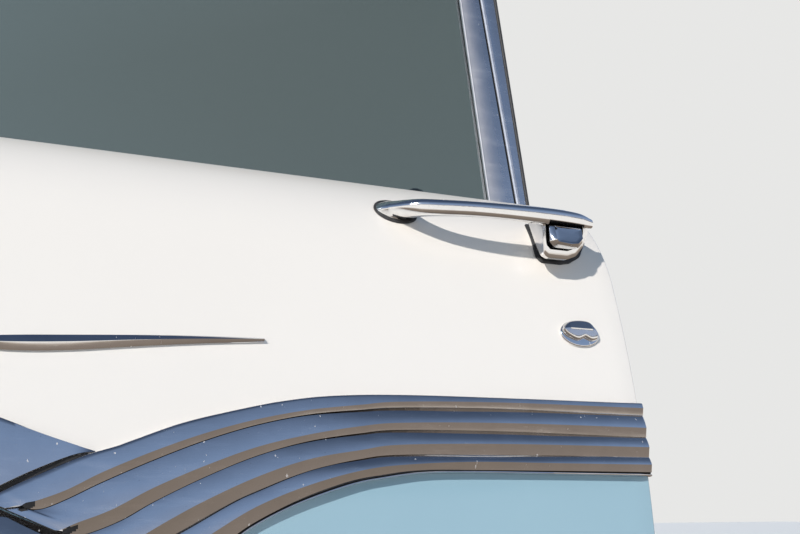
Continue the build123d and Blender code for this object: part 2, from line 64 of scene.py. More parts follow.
def side(z, d=0.0):
    """Point (y, z) and outward normal of the side at height z, moved out by d."""
    z = np.asarray(z, float)
    low = z <= Z_SHOULDER
    s1 = np.clip((z - C_SIDE[1]) / R_SIDE, -1, 1)
    s2 = np.clip((z - C_SHO[1]) / R_SHOULDER, -1, 1)
    s = np.where(low, s1, s2)
    c = np.sqrt(1 - s * s)
    y = np.where(low, C_SIDE[0] - R_SIDE * c, C_SHO[0] - R_SHOULDER * c)
    return y - c * d, z + s * d, -c, s


def profile(n_side=46, n_sho=44, n_belt=16, n_tuck=14):
    """Outer line of the door from the bottom hem to the belt flange:
    rows of y, z, normal y, normal z."""
    rows = [(70.0, BOTTOM, 0.0, -1.0)]

    def arc(c, r, a, b, n, first=True):
        for i in range(0 if first else 1, n + 1):
            t = a + (b - a) * i / n
            rows.append((c[0] - r * math.cos(t), c[1] + r * math.sin(t), -math.cos(t), math.sin(t)))
    arc(C_TUCK, R_TUCK, -math.pi / 2, -PHIT, n_tuck)
    arc(C_SIDE, R_SIDE, -PHIT, PHI0, n_side, False)
    arc(C_SHO, R_SHOULDER, PHI0, PHI1, n_sho, False)
    arc(C_BELT, R_BELT, PHI1, math.pi - LEAN, n_belt, False)
    y, z, ny, nz = rows[-1]
    for t in (10.0, 20.0, 30.0):
        rows.append((y - t * math.sin(LEAN), z - t * math.cos(LEAN), ny, nz))
    return np.array(rows)


# ------------------------------------------------------------ mesh helpers
def mesh_from(name, verts, faces, smooth=True, sharp=35.0):
    me = bpy.data.meshes.new(name)
    me.from_pydata([tuple(v) for v in verts], [], [tuple(f) for f in faces])
    me.validate()
    me.update()
    if smooth:
        me.polygons.foreach_set("use_smooth", [True] * len(me.polygons))
        me.set_sharp_from_angle(angle=math.radians(sharp))
    return me


def add(name, me, body="door", mats=(), replaces=()):
    ob = bpy.data.objects.new(name, me)
    bpy.context.scene.collection.objects.link(ob)
    for m in mats:
        me.materials.append(m)
    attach(ob, body)
    if replaces:
        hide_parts(*replaces)
    return ob


def grid_faces(nu, nv, close_u=False, close_v=False, flip=False, base=0):
    out = []
    for i in range(nu if close_u else nu - 1):
        i2 = (i + 1) % nu
        for j in range(nv if close_v else nv - 1):
            j2 = (j + 1) % nv
            q = (base + i * nv + j, base + i2 * nv + j, base + i2 * nv + j2, base + i * nv + j2)
            out.append(q[::-1] if flip else q)
    return out


def fix_normals(me):
    import bmesh
    bm = bmesh.new()
    bm.from_mesh(me)
    bmesh.ops.remove_doubles(bm, verts=bm.verts, dist=1e-6)
    bmesh.ops.recalc_face_normals(bm, faces=bm.faces)
    bm.to_mesh(me)
    bm.free()
    return me


def loft(name, rings, caps=True, sharp=35.0, close_u=False):
    """Closed rings of equal length, joined in order; in drawing millimetres."""
    rings = [np.asarray(r, float) for r in rings]
    n = len(rings[0])
    verts = M(np.concatenate(rings))
    faces = grid_faces(len(rings), n, close_u=close_u, close_v=True)
    if caps and not close_u:
        faces.append(tuple(range(n))[::-1])
        faces.append(tuple((len(rings) - 1) * n + k for k in range(n)))
    me = mesh_from(name, verts, faces)
    fix_normals(me)
    me.polygons.foreach_set("use_smooth", [True] * len(me.polygons))
    me.set_sharp_from_angle(angle=math.radians(sharp))
    return me


def join_meshes(name, meshes, sharp=35.0):
    verts, faces, mats, off = [], [], [], 0
    for me in meshes:
        verts += [tuple(v.co) for v in me.vertices]
        faces += [tuple(v + off for v in p.vertices) for p in me.polygons]
        mats += [p.material_index for p in me.polygons]
        off += len(me.vertices)
    out = mesh_from(name, verts, faces, sharp=sharp)
    if len(out.polygons) == len(mats):
        out.polygons.foreach_set("material_index", mats)
    for me in meshes:
        bpy.data.meshes.remove(me)
    return out


def rounded_poly(pts, r, n=5):
    """2-D closed polygon with rounded corners. r is one radius or one each."""
    pts = [np.array(p, float) for p in pts]
    rs = r if hasattr(r, "__len__") else [r] * len(pts)
    out = []
    for k, p in enumerate(pts):
        a, b = pts[k - 1], pts[(k + 1) % len(pts)]
        u, v = (a - p), (b - p)
        lu, lv = np.linalg.norm(u), np.linalg.norm(v)
        u, v = u / lu, v / lv
        cosang = float(np.clip(u @ v, -1, 1))
        half = math.acos(cosang) / 2
        t = min(rs[k] / max(math.tan(half), 1e-6), 0.49 * lu, 0.49 * lv)
        rr = t * math.tan(half)
        c = p + (u + v) / np.linalg.norm(u + v) * (rr / max(math.sin(half), 1e-6))
        p0, p1 = p + u * t, p + v * t
        a0 = math.atan2(*(p0 - c)[::-1])
        a1 = math.atan2(*(p1 - c)[::-1])
        d = (a1 - a0 + math.pi) % (2 * math.pi) - math.pi
        for i in range(n + 1):
            w = a0 + d * i / n
            out.append(c + rr * np.array([math.cos(w), math.sin(w)]))
    return np.array(out)


def resample(pts, n, closed=False):
    """Points at even steps along a polyline."""
    p = np.asarray(pts, float)
    if closed:
        p = np.vstack([p, p[:1]])
    seg = np.linalg.norm(np.diff(p, axis=0), axis=1)
    s = np.concatenate([[0], np.cumsum(seg)])
    t = np.linspace(0, s[-1], n + 1)[:-1] if closed else np.linspace(0, s[-1], n)
    return np.stack([np.interp(t, s, p[:, k]) for k in range(p.shape[1])], 1)


def smooth_curve(pts, n):
    """Even points on a smooth curve through pts (Catmull-Rom)."""
    p = np.asarray(pts, float)
    p = np.vstack([2 * p[0] - p[1], p, 2 * p[-1] - p[-2]])
    out = []
    for i in range(1, len(p) - 2):
        a, b, c, d = p[i - 1], p[i], p[i + 1], p[i + 2]
        for k in range(24):
            t = k / 24
            out.append(0.5 * ((2 * b) + (c - a) * t + (2 * a - 5 * b + 4 * c - d) * t * t
                              + (3 * b - a - 3 * c + d) * t ** 3))
    out.append(p[-2])
    return resample(out, n)


def on_side(x, z, d):
    """Drawing point on the door's side above drawing (x, z), moved out by d."""
    y, zz, ny, nz = side(z, d)
    return np.stack([np.broadcast_to(x, np.shape(y)).astype(float), y, zz], -1)


# ------------------------------------------------------------ materials
def new_mat(name):
    m = bpy.data.materials.new(name)
    m.use_nodes = True
    nt = m.node_tree
    return m, nt, nt.nodes["Principled BSDF"]


def node(nt, kind, **kw):
    n = nt.nodes.new(kind)
    for k, v in kw.items():
        if k.startswith("_"):
            n.inputs[k[1:].replace("_", " ")].default_value = v
        else:
            setattr(n, k, v)
    return n


def objco(nt, scale=(1, 1, 1)):
    tc = node(nt, "ShaderNodeTexCoord")
    mp = node(nt, "ShaderNodeMapping")
    mp.inputs["Scale"].default_value = scale
    nt.links.new(tc.outputs["Object"], mp.inputs["Vector"])
    return mp.outputs["Vector"]


def noise(nt, vec, scale, detail=4.0, rough=0.55, dist=0.0):
    n = node(nt, "ShaderNodeTexNoise")
    n.inputs["Scale"].default_value = scale
    n.inputs["Detail"].default_value = detail
    n.inputs["Roughness"].default_value = rough
    n.inputs["Distortion"].default_value = dist
    nt.links.new(vec, n.inputs["Vector"])
    return n.outputs["Fac"]


def ramp(nt, fac, stops):
    r = node(nt, "ShaderNodeValToRGB")
    el = r.color_ramp.elements
    while len(el) < len(stops):
        el.new(0.5)
    for e, (p, c) in zip(el, stops):
        e.position = p
        e.color = c if len(c) == 4 else (*c, 1.0)
    nt.links.new(fac, r.inputs["Fac"])
    return r.outputs["Color"]


def maprange(nt, fac, a, b, c, d):
    r = node(nt, "ShaderNodeMapRange")
    for k, v in zip(("From Min", "From Max", "To Min", "To Max"), (a, b, c, d)):
        r.inputs[k].default_value = v
    nt.links.new(fac, r.inputs["Value"])
    return r.outputs["Result"]


def bump(nt, bsdf, height, strength, distance):
    b = node(nt, "ShaderNodeBump")
    b.inputs["Strength"].default_value = strength
    b.inputs["Distance"].default_value = distance
    nt.links.new(height, b.inputs["Height"])
    nt.links.new(b.outputs["Normal"], bsdf.inputs["Normal"])
    return b


def mix(nt, fac, a, b, mode="MIX"):
    m = node(nt, "ShaderNodeMix", data_type="RGBA", blend_type=mode)
    for sock, v in ((m.inputs[0], fac), (m.inputs[6], a), (m.inputs[7], b)):
        if hasattr(v, "links") or hasattr(v, "is_linked"):
            nt.links.new(v, sock)
        else:
            sock.default_value = v if not hasattr(v, "__len__") else (*v[:3], 1.0)
    return m.outputs[2]


def srgb(r, g, b):
    f = lambda c: (c / 255 / 12.92) if c / 255 <= 0.04045 else ((c / 255 + 0.055) / 1.055) ** 2.4
    return (f(r), f(g), f(b), 1.0)


def paint(name, base, dark, spec=0.5, rough=0.24):
    m, nt, b = new_mat(name)
    v = objco(nt)
    f = noise(nt, v, 3.0, 5.0, 0.6)
    grime = noise(nt, v, 26.0, 6.0, 0.65)
    col = ramp(nt, f, [(0.25, dark), (0.72, base)])
    col = mix(nt, maprange(nt, grime, 0.66, 0.90, 0.0, 0.02), col, tuple(c * 0.8 for c in base[:3]))
    nt.links.new(col, b.inputs["Base Color"])
    r = maprange(nt, noise(nt, v, 7.0, 3.0), 0.3, 0.8, rough, rough + 0.03)
    nt.links.new(r, b.inputs["Roughness"])
    b.inputs["Specular IOR Level"].default_value = spec
    b.inputs["Coat Weight"].default_value = 0.6
    b.inputs["Coat Roughness"].default_value = 0.06
    peel = noise(nt, v, 420.0, 2.0, 0.5)
    bump(nt, b, peel, 0.02, 0.0004)
    return m


def chrome(name, tint=(0.86, 0.87, 0.88), rough=0.035, wear=1.0, brushed=False):
    m, nt, b = new_mat(name)
    v = objco(nt)
    b.inputs["Metallic"].default_value = 1.0
    haze = noise(nt, v, 38.0, 6.0, 0.62)
    specks = noise(nt, v, 900.0, 2.0, 0.4)
    col = ramp(nt, haze, [(0.3, tuple(c * 0.90 for c in tint)), (0.75, tint)])
    pits = maprange(nt, specks, 0.74, 0.80, 0.0, 0.75 * wear)
    col = mix(nt, pits, col, (0.30, 0.27, 0.24))
    # rare pale specks and short marks
    streak = noise(nt, objco(nt, (5.0, 34.0, 34.0)), 3.2, 4.0, 0.6)
    col = mix(nt, maprange(nt, streak, 0.52, 0.74, 0.0, 0.55 * wear), col, tuple(min(1.0, c * 1.14) for c in tint))
    dots = maprange(nt, noise(nt, objco(nt, (1.0, 1.0, 0.62)), 300.0, 1.0, 0.3), 0.77, 0.80, 0.0, wear)
    col = mix(nt, dots, col, (0.95, 0.95, 0.95))
    nt.links.new(col, b.inputs["Base Color"])
    rr = maprange(nt, haze, 0.35, 0.8, rough, rough + 0.07 * wear)
    soft = node(nt, "ShaderNodeMath", operation="ADD")
    nt.links.new(rr, soft.inputs[0])
    nt.links.new(maprange(nt, streak, 0.50, 0.72, 0.0, 0.12 * wear), soft.inputs[1])
    rr = soft.outputs[0]
    up = node(nt, "ShaderNodeMath", operation="MULTIPLY_ADD")
    nt.links.new(dots, up.inputs[0])
    up.inputs[1].default_value = 0.5
    nt.links.new(rr, up.inputs[2])
    r = up.outputs[0]
    # fine polishing scratches: two stretched noises
    s1 = noise(nt, objco(nt, (14.0, 260.0, 260.0)), 6.0, 3.0, 0.5)
    s2 = noise(nt, objco(nt, (220.0, 220.0, 22.0)), 5.0, 3.0, 0.5)
    sc = node(nt, "ShaderNodeMath", operation="MAXIMUM")
    nt.links.new(s1, sc.inputs[0])
    nt.links.new(s2, sc.inputs[1])
    scr = maprange(nt, sc.outputs[0], 0.64, 0.80, 0.0, 0.20 * wear)
    ad = node(nt, "ShaderNodeMath", operation="ADD")
    nt.links.new(r, ad.inputs[0])
    nt.links.new(scr, ad.inputs[1])
    nt.links.new(ad.outputs[0], b.inputs["Roughness"])
    bump(nt, b, sc.outputs[0], 0.04 * wear, 0.0004)
    return m


def rubber(name, col=(0.018, 0.018, 0.019)):
    m, nt, b = new_mat(name)
    v = objco(nt)
    f = noise(nt, v, 90.0, 6.0, 0.65)
    nt.links.new(ramp(nt, f, [(0.3, col), (0.8, tuple(c * 2.6 + 0.012 for c in col))]), b.inputs["Base Color"])
    nt.links.new(maprange(nt, f, 0.3, 0.8, 0.5, 0.8), b.inputs["Roughness"])
    bump(nt, b, noise(nt, v, 700.0, 3.0), 0.25, 0.0005)
    return m


def steel(name, tint=(0.36, 0.35, 0.33), rough=0.42):
    m, nt, b = new_mat(name)
    v = objco(nt)
    b.inputs["Metallic"].default_value = 0.85
    f = noise(nt, v, 45.0, 7.0, 0.7)
    col = ramp(nt, f, [(0.25, tuple(c * 0.55 for c in tint)), (0.6, tint), (0.85, tuple(min(1, c * 1.35) for c in tint))])
    rust = maprange(nt, noise(nt, v, 120.0, 6.0, 0.7), 0.62, 0.75, 0.0, 0.55)
    col = mix(nt, rust, col, (0.18, 0.085, 0.04))
    nt.links.new(col, b.inputs["Base Color"])
    nt.links.new(maprange(nt, f, 0.2, 0.8, rough, rough + 0.25), b.inputs["Roughness"])
    bump(nt, b, f, 0.25, 0.0006)
    return m


def glass(name, tint):
    m, nt, b = new_mat(name)
    v = objco(nt)
    b.inputs["Base Color"].default_value = (*tint, 1.0)
    b.inputs["Transmission Weight"].default_value = 1.0
    b.inputs["IOR"].default_value = 1.5
    dust = maprange(nt, noise(nt, v, 55.0, 8.0, 0.7), 0.55, 0.9, 0.0, 0.05)
    nt.links.new(dust, b.inputs["Roughness"])
    wob = noise(nt, v, 5.0, 1.0)
    bump(nt, b, wob, 0.04, 0.002)
    return m


def vinyl(name, base, dark, rough=0.5, grain=520.0):
    m, nt, b = new_mat(name)
    v = objco(nt)
    f = noise(nt, v, 9.0, 6.0, 0.6)
    col = ramp(nt, f, [(0.3, dark), (0.75, base)])
    nt.links.new(col, b.inputs["Base Color"])
    vo = node(nt, "ShaderNodeTexVoronoi", feature="DISTANCE_TO_EDGE")
    vo.inputs["Scale"].default_value = grain
    nt.links.new(v, vo.inputs["Vector"])
    g = maprange(nt, vo.outputs["Distance"], 0.0, 0.25, 0.0, 1.0)
    nt.links.new(maprange(nt, g, 0.0, 1.0, rough + 0.15, rough), b.inputs["Roughness"])
    bump(nt, b, g, 0.35, 0.0004)
    b.inputs["Specular IOR Level"].default_value = 0.4
    return m


CREAM = paint("cream_paint", srgb(245, 238, 229), srgb(243, 236, 227))
BLUE = paint("light_blue_paint", srgb(151, 184, 197), srgb(147, 180, 194))
SHUT = paint("shut_face_blue_paint", srgb(150, 184, 198), srgb(138, 172, 187), rough=0.3)
INSIDE = paint("garnish_blue_paint", srgb(142, 178, 193), srgb(132, 168, 184), rough=0.32)
CHROME = chrome("chrome", rough=0.03)
CHROME_TRIM = chrome("worn_bright_trim", tint=(0.80, 0.81, 0.83), rough=0.06, wear=1.0)
STAINLESS = chrome("brushed_stainless", tint=(0.84, 0.85, 0.88), rough=0.24, wear=0.7)
BAR = chrome("brushed_bar", tint=(0.90, 0.89, 0.90), rough=0.20, wear=0.6)


def dull_towards_front(m, x0, x1, more):
    """Raises the roughness towards x0, where the bar is worn dull."""
    nt = m.node_tree
    b = nt.nodes["Principled BSDF"]
    sx = node(nt, "ShaderNodeSeparateXYZ")
    nt.links.new(objco(nt), sx.inputs[0])
    ad = node(nt, "ShaderNodeMath", operation="ADD")
    nt.links.new(b.inputs["Roughness"].links[0].from_socket, ad.inputs[0])
    nt.links.new(maprange(nt, sx.outputs["X"], x0, x1, more, 0.0), ad.inputs[1])
    nt.links.new(ad.outputs[0], b.inputs["Roughness"])


dull_towards_front(BAR, 1.136, 1.157, 0.34)
EDGE = chrome("worn_edge", tint=(0.80, 0.83, 0.88), rough=0.50, wear=0.4)
CUP_WALL = chrome("worn_cup_wall", tint=(0.80, 0.79, 0.79), rough=0.05, wear=1.0)
BEAD = chrome("dull_bead", tint=(0.80, 0.84, 0.92), rough=0.52, wear=0.4)
# Painted shade for the groove walls: chrome tints in steps from near black to bright.
GROOVE_SHADE_STEPS = tuple(chrome("groove_painted_shade_%d" % (k + 1), tint=(t, t, t * 1.03), rough=0.16, wear=1.0)
                    for k, t in enumerate((0.05, 0.10, 0.18, 0.28, 0.40, 0.52, 0.64, 0.74)))
CHROME_IN = chrome("inside_chrome", rough=0.05, wear=0.6)
RUBBER = rubber("black_rubber")
STEEL = steel("plated_steel")
STEEL_DARK = steel("dark_steel", (0.22, 0.21, 0.20), 0.5)
# Glass tint, made darker than the glass itself as painted shade of a dim interior behind it.
GLASS_TINT_AND_SHADE = glass("tinted_glass", (0.145, 0.182, 0.186))
VINYL_BLUE = vinyl("blue_vinyl", srgb(112, 150, 168), srgb(98, 136, 154))
VINYL_WHITE = vinyl("white_vinyl", srgb(222, 220, 212), srgb(208, 205, 196))
# Near-black material for painted shade: it goes where shade falls, in grooves, recesses, the handle's pocket and the
# channel between plates.
SHADE_BLACK = rubber("painted_shade_black", (0.006, 0.006, 0.007))

# ------------------------------------------------------------ mouldings' lines
MID = [(-1180, 164), (-1020, 131), (-860, 91), (-700, 46), (-600, 17), (-546, 0), (-500, -15), (-450, -32),
       (-420, -17), (-369, 4), (-334, 15), (-292, 25), (-240, 33), (0, 35)]

# ------------------------------------------------------------ outer panel
def outer_panel():
    prof = profile()
    xs = []          # loop across the panel: (x, d) pairs, closed
    r = 2.2
    outer = list(np.linspace(-r, -LENGTH + r, 70))
    for a in np.linspace(0, math.pi / 2, 6):          # rear rounded edge
        xs.append((-r + r * math.cos(a), -r + r * math.sin(a)))
    xs += [(x, 0.0) for x in outer[1:-1]]
    for a in np.linspace(0, math.pi / 2, 6):
        xs.append((-LENGTH + r - r * math.sin(a), -r + r * math.cos(a)))
    xs += [(-LENGTH, -8.0), (-LENGTH + 2.0, -8.0), (-LENGTH + 2.0, -2.0)]
    xs += [(x, -2.0) for x in np.linspace(-LENGTH + 40, -40, 20)]
    xs += [(-2.0, -2.0), (-2.0, -8.0), (0.0, -8.0)]
    n = len(xs)
    verts = []
    for y, z, ny, nz in prof:
        belt = z > Z_BELT - 12 or ny > 0
        for x, d in xs:
            dd = max(d, -6.4) if (belt and d < -6.4) else d
            verts.append((x, y + ny * dd, z + nz * dd))
    # rear lower corner and front lower corner stay square, as the panel is straight
    faces = grid_faces(len(prof), n, close_v=True)
    faces.append(tuple(range(n)))
    faces.append(tuple((len(prof) - 1) * n + k for k in range(n))[::-1])
    me = mesh_from("outer_panel_skin", M(verts), faces, sharp=40)
    fix_normals(me)
    me.polygons.foreach_set("use_smooth", [True] * len(me.polygons))
    me.set_sharp_from_angle(angle=math.radians(40))
    ob = add("outer_panel_skin", me, mats=(CREAM, BLUE, SHUT), replaces=["outer_panel"])
    mx, mz = zip(*MID)
    for p in me.polygons:
        c = np.array(p.center) * 1000.0 - S
        p.material_index = 1 if c[2] < np.interp(c[0], mx, mz) else 0
    return ob


outer_panel()

# ------------------------------------------------------------ ribbed moulding
# Lines along the moulding, from the top edge to the lower edge. A rib's bright
# face ends at its crest; below the crest it turns under to the groove.
RIB_LINES = [
    [(-556, -17.4), (-544, -12.6), (-533.5, -7.2), (-517.5, 0.2), (-501, 7.6), (-488, 12.8), (-481, 15.2),
     (-467, 19.4), (-457, 23.2), (-421, 36.6), (-382, 47), (-341, 56), (-298, 61.8), (-238, 64.8), (-142, 65.9), (0, 66.5)],
    [(-541, -23.3), (-531.5, -22.3), (-527, -19.9), (-519, -18.1), (-500, -11), (-476, 1.1), (-440, 16.2),
     (-402, 29.8), (-362, 41), (-320, 49.4), (-277, 54.8), (-239, 58.7), (-142, 61.5), (0, 61.8)],
    [(-540.6, -23.5), (-531, -21.6), (-526.5, -23.6), (-516, -23.5), (-500, -17.1), (-476, -5.4), (-440, 10.3),
     (-402, 25), (-362, 37.3), (-320, 46.2), (-277, 51.2), (-239, 54.5), (-142, 56.8), (0, 55.9)],
    [(-508, -37.9), (-504.5, -38), (-500, -36.2), (-493, -33.2), (-470, -24.6), (-440, -9.3), (-402, 6.6),
     (-363, 20.4), (-321, 30.6), (-278, 38.0), (-240, 41.8), (-142, 44.3), (0, 44.3)],
    [(-507.6, -38.0), (-504, -38.4), (-499, -40.5), (-487, -40.7), (-463, -31.8), (-439, -18.5), (-402, -1.1),
     (-363, 14.3), (-322, 25.7), (-278, 32.9), (-241, 36.6), (-142, 37.9), (0, 36.5)],
    [(-466, -53), (-462, -51.8), (-456, -47.1), (-432, -33.2), (-402, -17.9), (-363, -1.1), (-322, 12), (-279, 19.6),
     (-242, 24.5), (-142, 27.1), (0, 27.3)],
    [(-465.6, -53.1), (-461, -53.2), (-452, -54.5), (-438, -49), (-417, -38.6), (-383, -20.3), (-364, -12),
     (-323, 3.4), (-280, 12.9), (-242, 17.1), (-142, 18.7), (0, 19.1)],
    [(-436, -64.4), (-420, -55), (-397, -40.6), (-364, -22.5), (-323, -7.2), (-280, 3.9), (-243, 8.8), (-180, 12.0),
     (-100, 12.1), (0, 12.2)],
    [(-421, -70.0), (-395, -53.3), (-369, -35.6), (-334, -19.4), (-292, -5.7), (-262, 0.2), (-228, 4.4), (-180, 5.9),
     (-90, 6.1), (0, 6)],
]
GROOVE_START = (-531.0, -504.0, -461.0)
CREST = 6.8
HOLES = [(-526.5, -21.6, 0.93, 0.37, 6.2, 2.3), (-498.0, -37.6, 0.92, 0.39, 7.0, 2.4), (-455.5, -50.2, 0.88, 0.47, 7.5, 2.2)]


def ease(x, a, b):
    t = np.clip((np.asarray(x, float) - a) / (b - a), 0, 1)
    return t * t * (3 - 2 * t)


def mark_sharp(me, n, rails):
    """Sharp edges along the mesh at the given columns of an n-wide grid."""
    att = me.attributes.get("sharp_edge") or me.attributes.new("sharp_edge", "BOOLEAN", "EDGE")
    rails = set(rails)
    for e in me.edges:
        a, b = e.vertices
        if a % n == b % n and a % n in rails and abs(a // n - b // n) == 1:
            att.data[e.index].value = True


def ribbed_moulding():
    n_len = 380
    L = [smooth_curve(p, n_len) for p in RIB_LINES]
    cols, hs, rails, dark = [], [], [], set()

    def put(p, h, sharp=False):
        if sharp:
            rails.append(len(cols))
        cols.append(p)
        hs.append(np.broadcast_to(h, n_len).astype(float))

    def width(a, b):
        return np.linalg.norm(b - a, axis=1)

    def bright(a, b, first):
        """Bright face from line a to the crest b."""
        w = width(a, b)
        tau = np.radians(5.2 + 2.6 * ease(b[:, 0], -330, -160))
        rise = np.minimum(w * np.tan(tau), 2.4)
        for k in range(0 if first else 1, 11):
            t = k / 10
            s = t + (0.55 + 0.15 * ease(b[:, 0], -470, -250)) * t * (1 - t)
            put(a + (b - a) * t, CREST - rise + rise * s, k == 10)
        return CREST - rise

    # top edge: wall, small round, then the first bright face
    w0 = width(L[0], L[1])
    rise0 = np.minimum(w0 * np.tan(np.radians(5.4 + 3.4 * ease(L[1][:, 0], -330, -160))), 2.4)
    h0 = CREST - rise0
    u = (L[1] - L[0]) / w0[:, None]
    put(L[0] - u * 0.0, 0.25)
    put(L[0] - u * 0.0, h0 - 0.9, True)
    put(L[0] + u * 0.25, h0 - 0.3)
    put(L[0] + u * 0.8, h0 + 0.05)
    for k in range(2, 11):
        t = k / 10
        put(L[0] + (L[1] - L[0]) * t, h0 + rise0 * (t + 0.3 * t * (1 - t)), k == 10)
    for g in range(3):
        T, G, N = L[1 + 2 * g], L[2 + 2 * g], L[3 + 2 * g]
        w = width(T, G)
        openn = ease(G[:, 0], GROOVE_START[g] - 1.5, GROOVE_START[g] + 8.0)
        drop = w * np.tan(math.radians(19.0)) * openn
        wn = width(G, N)
        tau = np.radians(4.8 + (10.0, 14.0, 17.0)[g] * ease(N[:, 0], -330, -160))
        hb = CREST - np.minimum(wn * np.tan(tau), 2.4 + 2.0 * ease(N[:, 0], -330, -160))
        hg = np.minimum(CREST - drop, np.maximum(CREST - drop, hb - 1.3 * openn - 3 * (1 - openn)))
        hg = CREST - drop
        for k in range(1, 7):
            t = k / 6
            put(T + (G - T) * t, CREST + (hg - CREST) * (t + 0.25 * t * (1 - t)), k == 6)
        un = (N - G) / np.maximum(wn, 1e-6)[:, None]
        fade = ease(G[:, 0], -330, -205)
        deep = (1.6 - 1.3 * fade) * openn
        start = np.exp(-((G[:, 0] - GROOVE_START[g] - 4.0) / 5.0) ** 2)
        deep = np.maximum(deep, 2.6 * start)
        gap = (0.75 - 0.55 * fade + 2.0 * start)[:, None]
        # painted shade: the groove's notch columns are kept for the black shade material
        dark.update(range(len(cols) - 1, len(cols) + 2))
        put(G + un * 0.12 * gap, hg - deep)
        put(G + un * gap, np.minimum(hg, hb) - deep)
        put(G + un * (gap * 1.15), hb - 0.03, True)
        # bright face from just below the notch
        a = G + un * (gap * 1.15)
        rise = CREST - hb
        for k in range(1, 12):
            t = k / 11
            sft = 0.34 + 0.30 * ease(N[:, 0], -330, -160)
            put(a + (N - a) * t, hb + rise * (t + sft * t * (1 - t)), k == 11)
    T, E = L[7], L[8]
    w = width(T, E)
    he = CREST - np.minimum(w * np.tan(math.radians(17.0)), 3.1)
    for k in range(1, 8):
        t = k / 7
        put(T + (E - T) * t, CREST + (he - CREST) * (t + 0.2 * t * (1 - t)), k == 7)
    un = (E - T) / w[:, None]
    # below it a narrow groove painted black as shade, then the rolled lip and the wall to the paint
    dark.update(range(len(cols) - 1, len(cols) + 2))
    floor = np.minimum(he - 0.1, 4.7) - 1.5
    lip = 4.7 + 2.5 * ease(E[:, 0], -400, -300) - 0.7 * ease(E[:, 0], -210, -60) - 1.6 * ease(E[:, 0], -18, -2)
    put(E + un * 0.10, floor)
    put(E + un * 1.55, floor - 0.1)
    put(E + un * 1.75, lip - 0.35, True)
    put(E + un * 2.05, lip)
    put(E + un * 2.6, lip + 0.05)
    put(E + un * 3.1, lip - 0.25)
    put(E + un * 3.35, lip - 0.8)
    put(E + un * 3.4, 0.25, True)
    P, H = np.array(cols), np.array(hs)
    # the rear end is dressed over with a small radius; both ends close to the paint
    n = len(cols)
    out = np.stack([on_side(P[j, :, 0], P[j, :, 1], H[j]) for j in range(n)], 1)
    foot = [on_side(P[:, i, 0], P[:, i, 1], np.full(n, 0.25)) for i in (0, -1)]
    out[-1, :, 0] -= 0.55
    soft = out[-1] * 0.93 + foot[1] * 0.07
    soft[:, 0] = out[-1, :, 0] + 0.42
    foot[1][:, 0] = out[-1, :, 0] + 0.55
    full = np.concatenate([foot[0][None], out, soft[None], foot[1][None]], 0)
    rows = len(full)
    faces = grid_faces(rows, n)
    verts = M(full.reshape(-1, 3))
    # back face, closed between the rings' ends
    back = []
    for i in range(rows - 1):
        back.append((i * n, (i + 1) * n, (i + 1) * n + n - 1, i * n + n - 1))
    me = mesh_from("ribbed_moulding", verts, faces + back)
    import bmesh
    bm = bmesh.new()
    bm.from_mesh(me)
    bmesh.ops.recalc_face_normals(bm, faces=bm.faces)
    bm.to_mesh(me)
    bm.free()
    me.polygons.foreach_set("use_smooth", [True] * len(me.polygons))
    me.set_sharp_from_angle(angle=math.radians(40))
    mark_sharp(me, n, rails)
    ob = add("ribbed_moulding", me, mats=(CHROME_TRIM, SHADE_BLACK) + GROOVE_SHADE_STEPS, replaces=["ribbed_side_trim"])
    first = len(dark) - 3
    groove_cols = sorted(dark)[:first]
    for p in me.polygons:
        js = [v % n for v in p.vertices]
        k = min(js)
        if min(v // n for v in p.vertices) == 0:
            # painted shade: the wall along the crease is black
            p.material_index = 1          # the wall along the crease
            continue
        x = p.center[0] * 1000.0 - S[0]
        z = p.center[2] * 1000.0 - S[2]
        if any(((x - hx) * ca + (z - hz) * sa) ** 2 / ra ** 2 + ((z - hz) * ca - (x - hx) * sa) ** 2 / rb ** 2 < 1
               for hx, hz, ca, sa, ra, rb in HOLES) and min(v // n for v in p.vertices) < rows - 2:
            # painted shade: the punched recess where a groove begins is black
            p.material_index = 1          # punched recess where a groove begins
            continue
        if max(js) - k != 1 or k not in dark:
            continue
        if k in groove_cols and x > -306.0:
            # painted shade: the groove's wall is darkened, less so in steps towards the rear
            step = int((x + 306.0) // 14.0)
            p.material_index = 2 + step if step < len(GROOVE_SHADE_STEPS) else 0
            continue
        p.material_index = 1
    return ob


ribbed_moulding()


def paired(tops, lows, n):
    """Two lines given by matching points, resampled with the same steps."""
    both = [tuple(a) + tuple(b) for a, b in zip(tops, lows)]
    p = np.asarray(both, float)
    p = np.vstack([2 * p[0] - p[1], p, 2 * p[-1] - p[-2]])
    out = []
    for i in range(1, len(p) - 2):
        a, b, c, d = p[i - 1], p[i], p[i + 1], p[i + 2]
        for k in range(24):
            t = k / 24
            out.append(0.5 * ((2 * b) + (c - a) * t + (2 * a - 5 * b + 4 * c - d) * t * t
                              + (3 * b - a - 3 * c + d) * t ** 3))
    out.append(p[-2])
    r = resample(out, n)
    return r[:, :2], r[:, 2:]


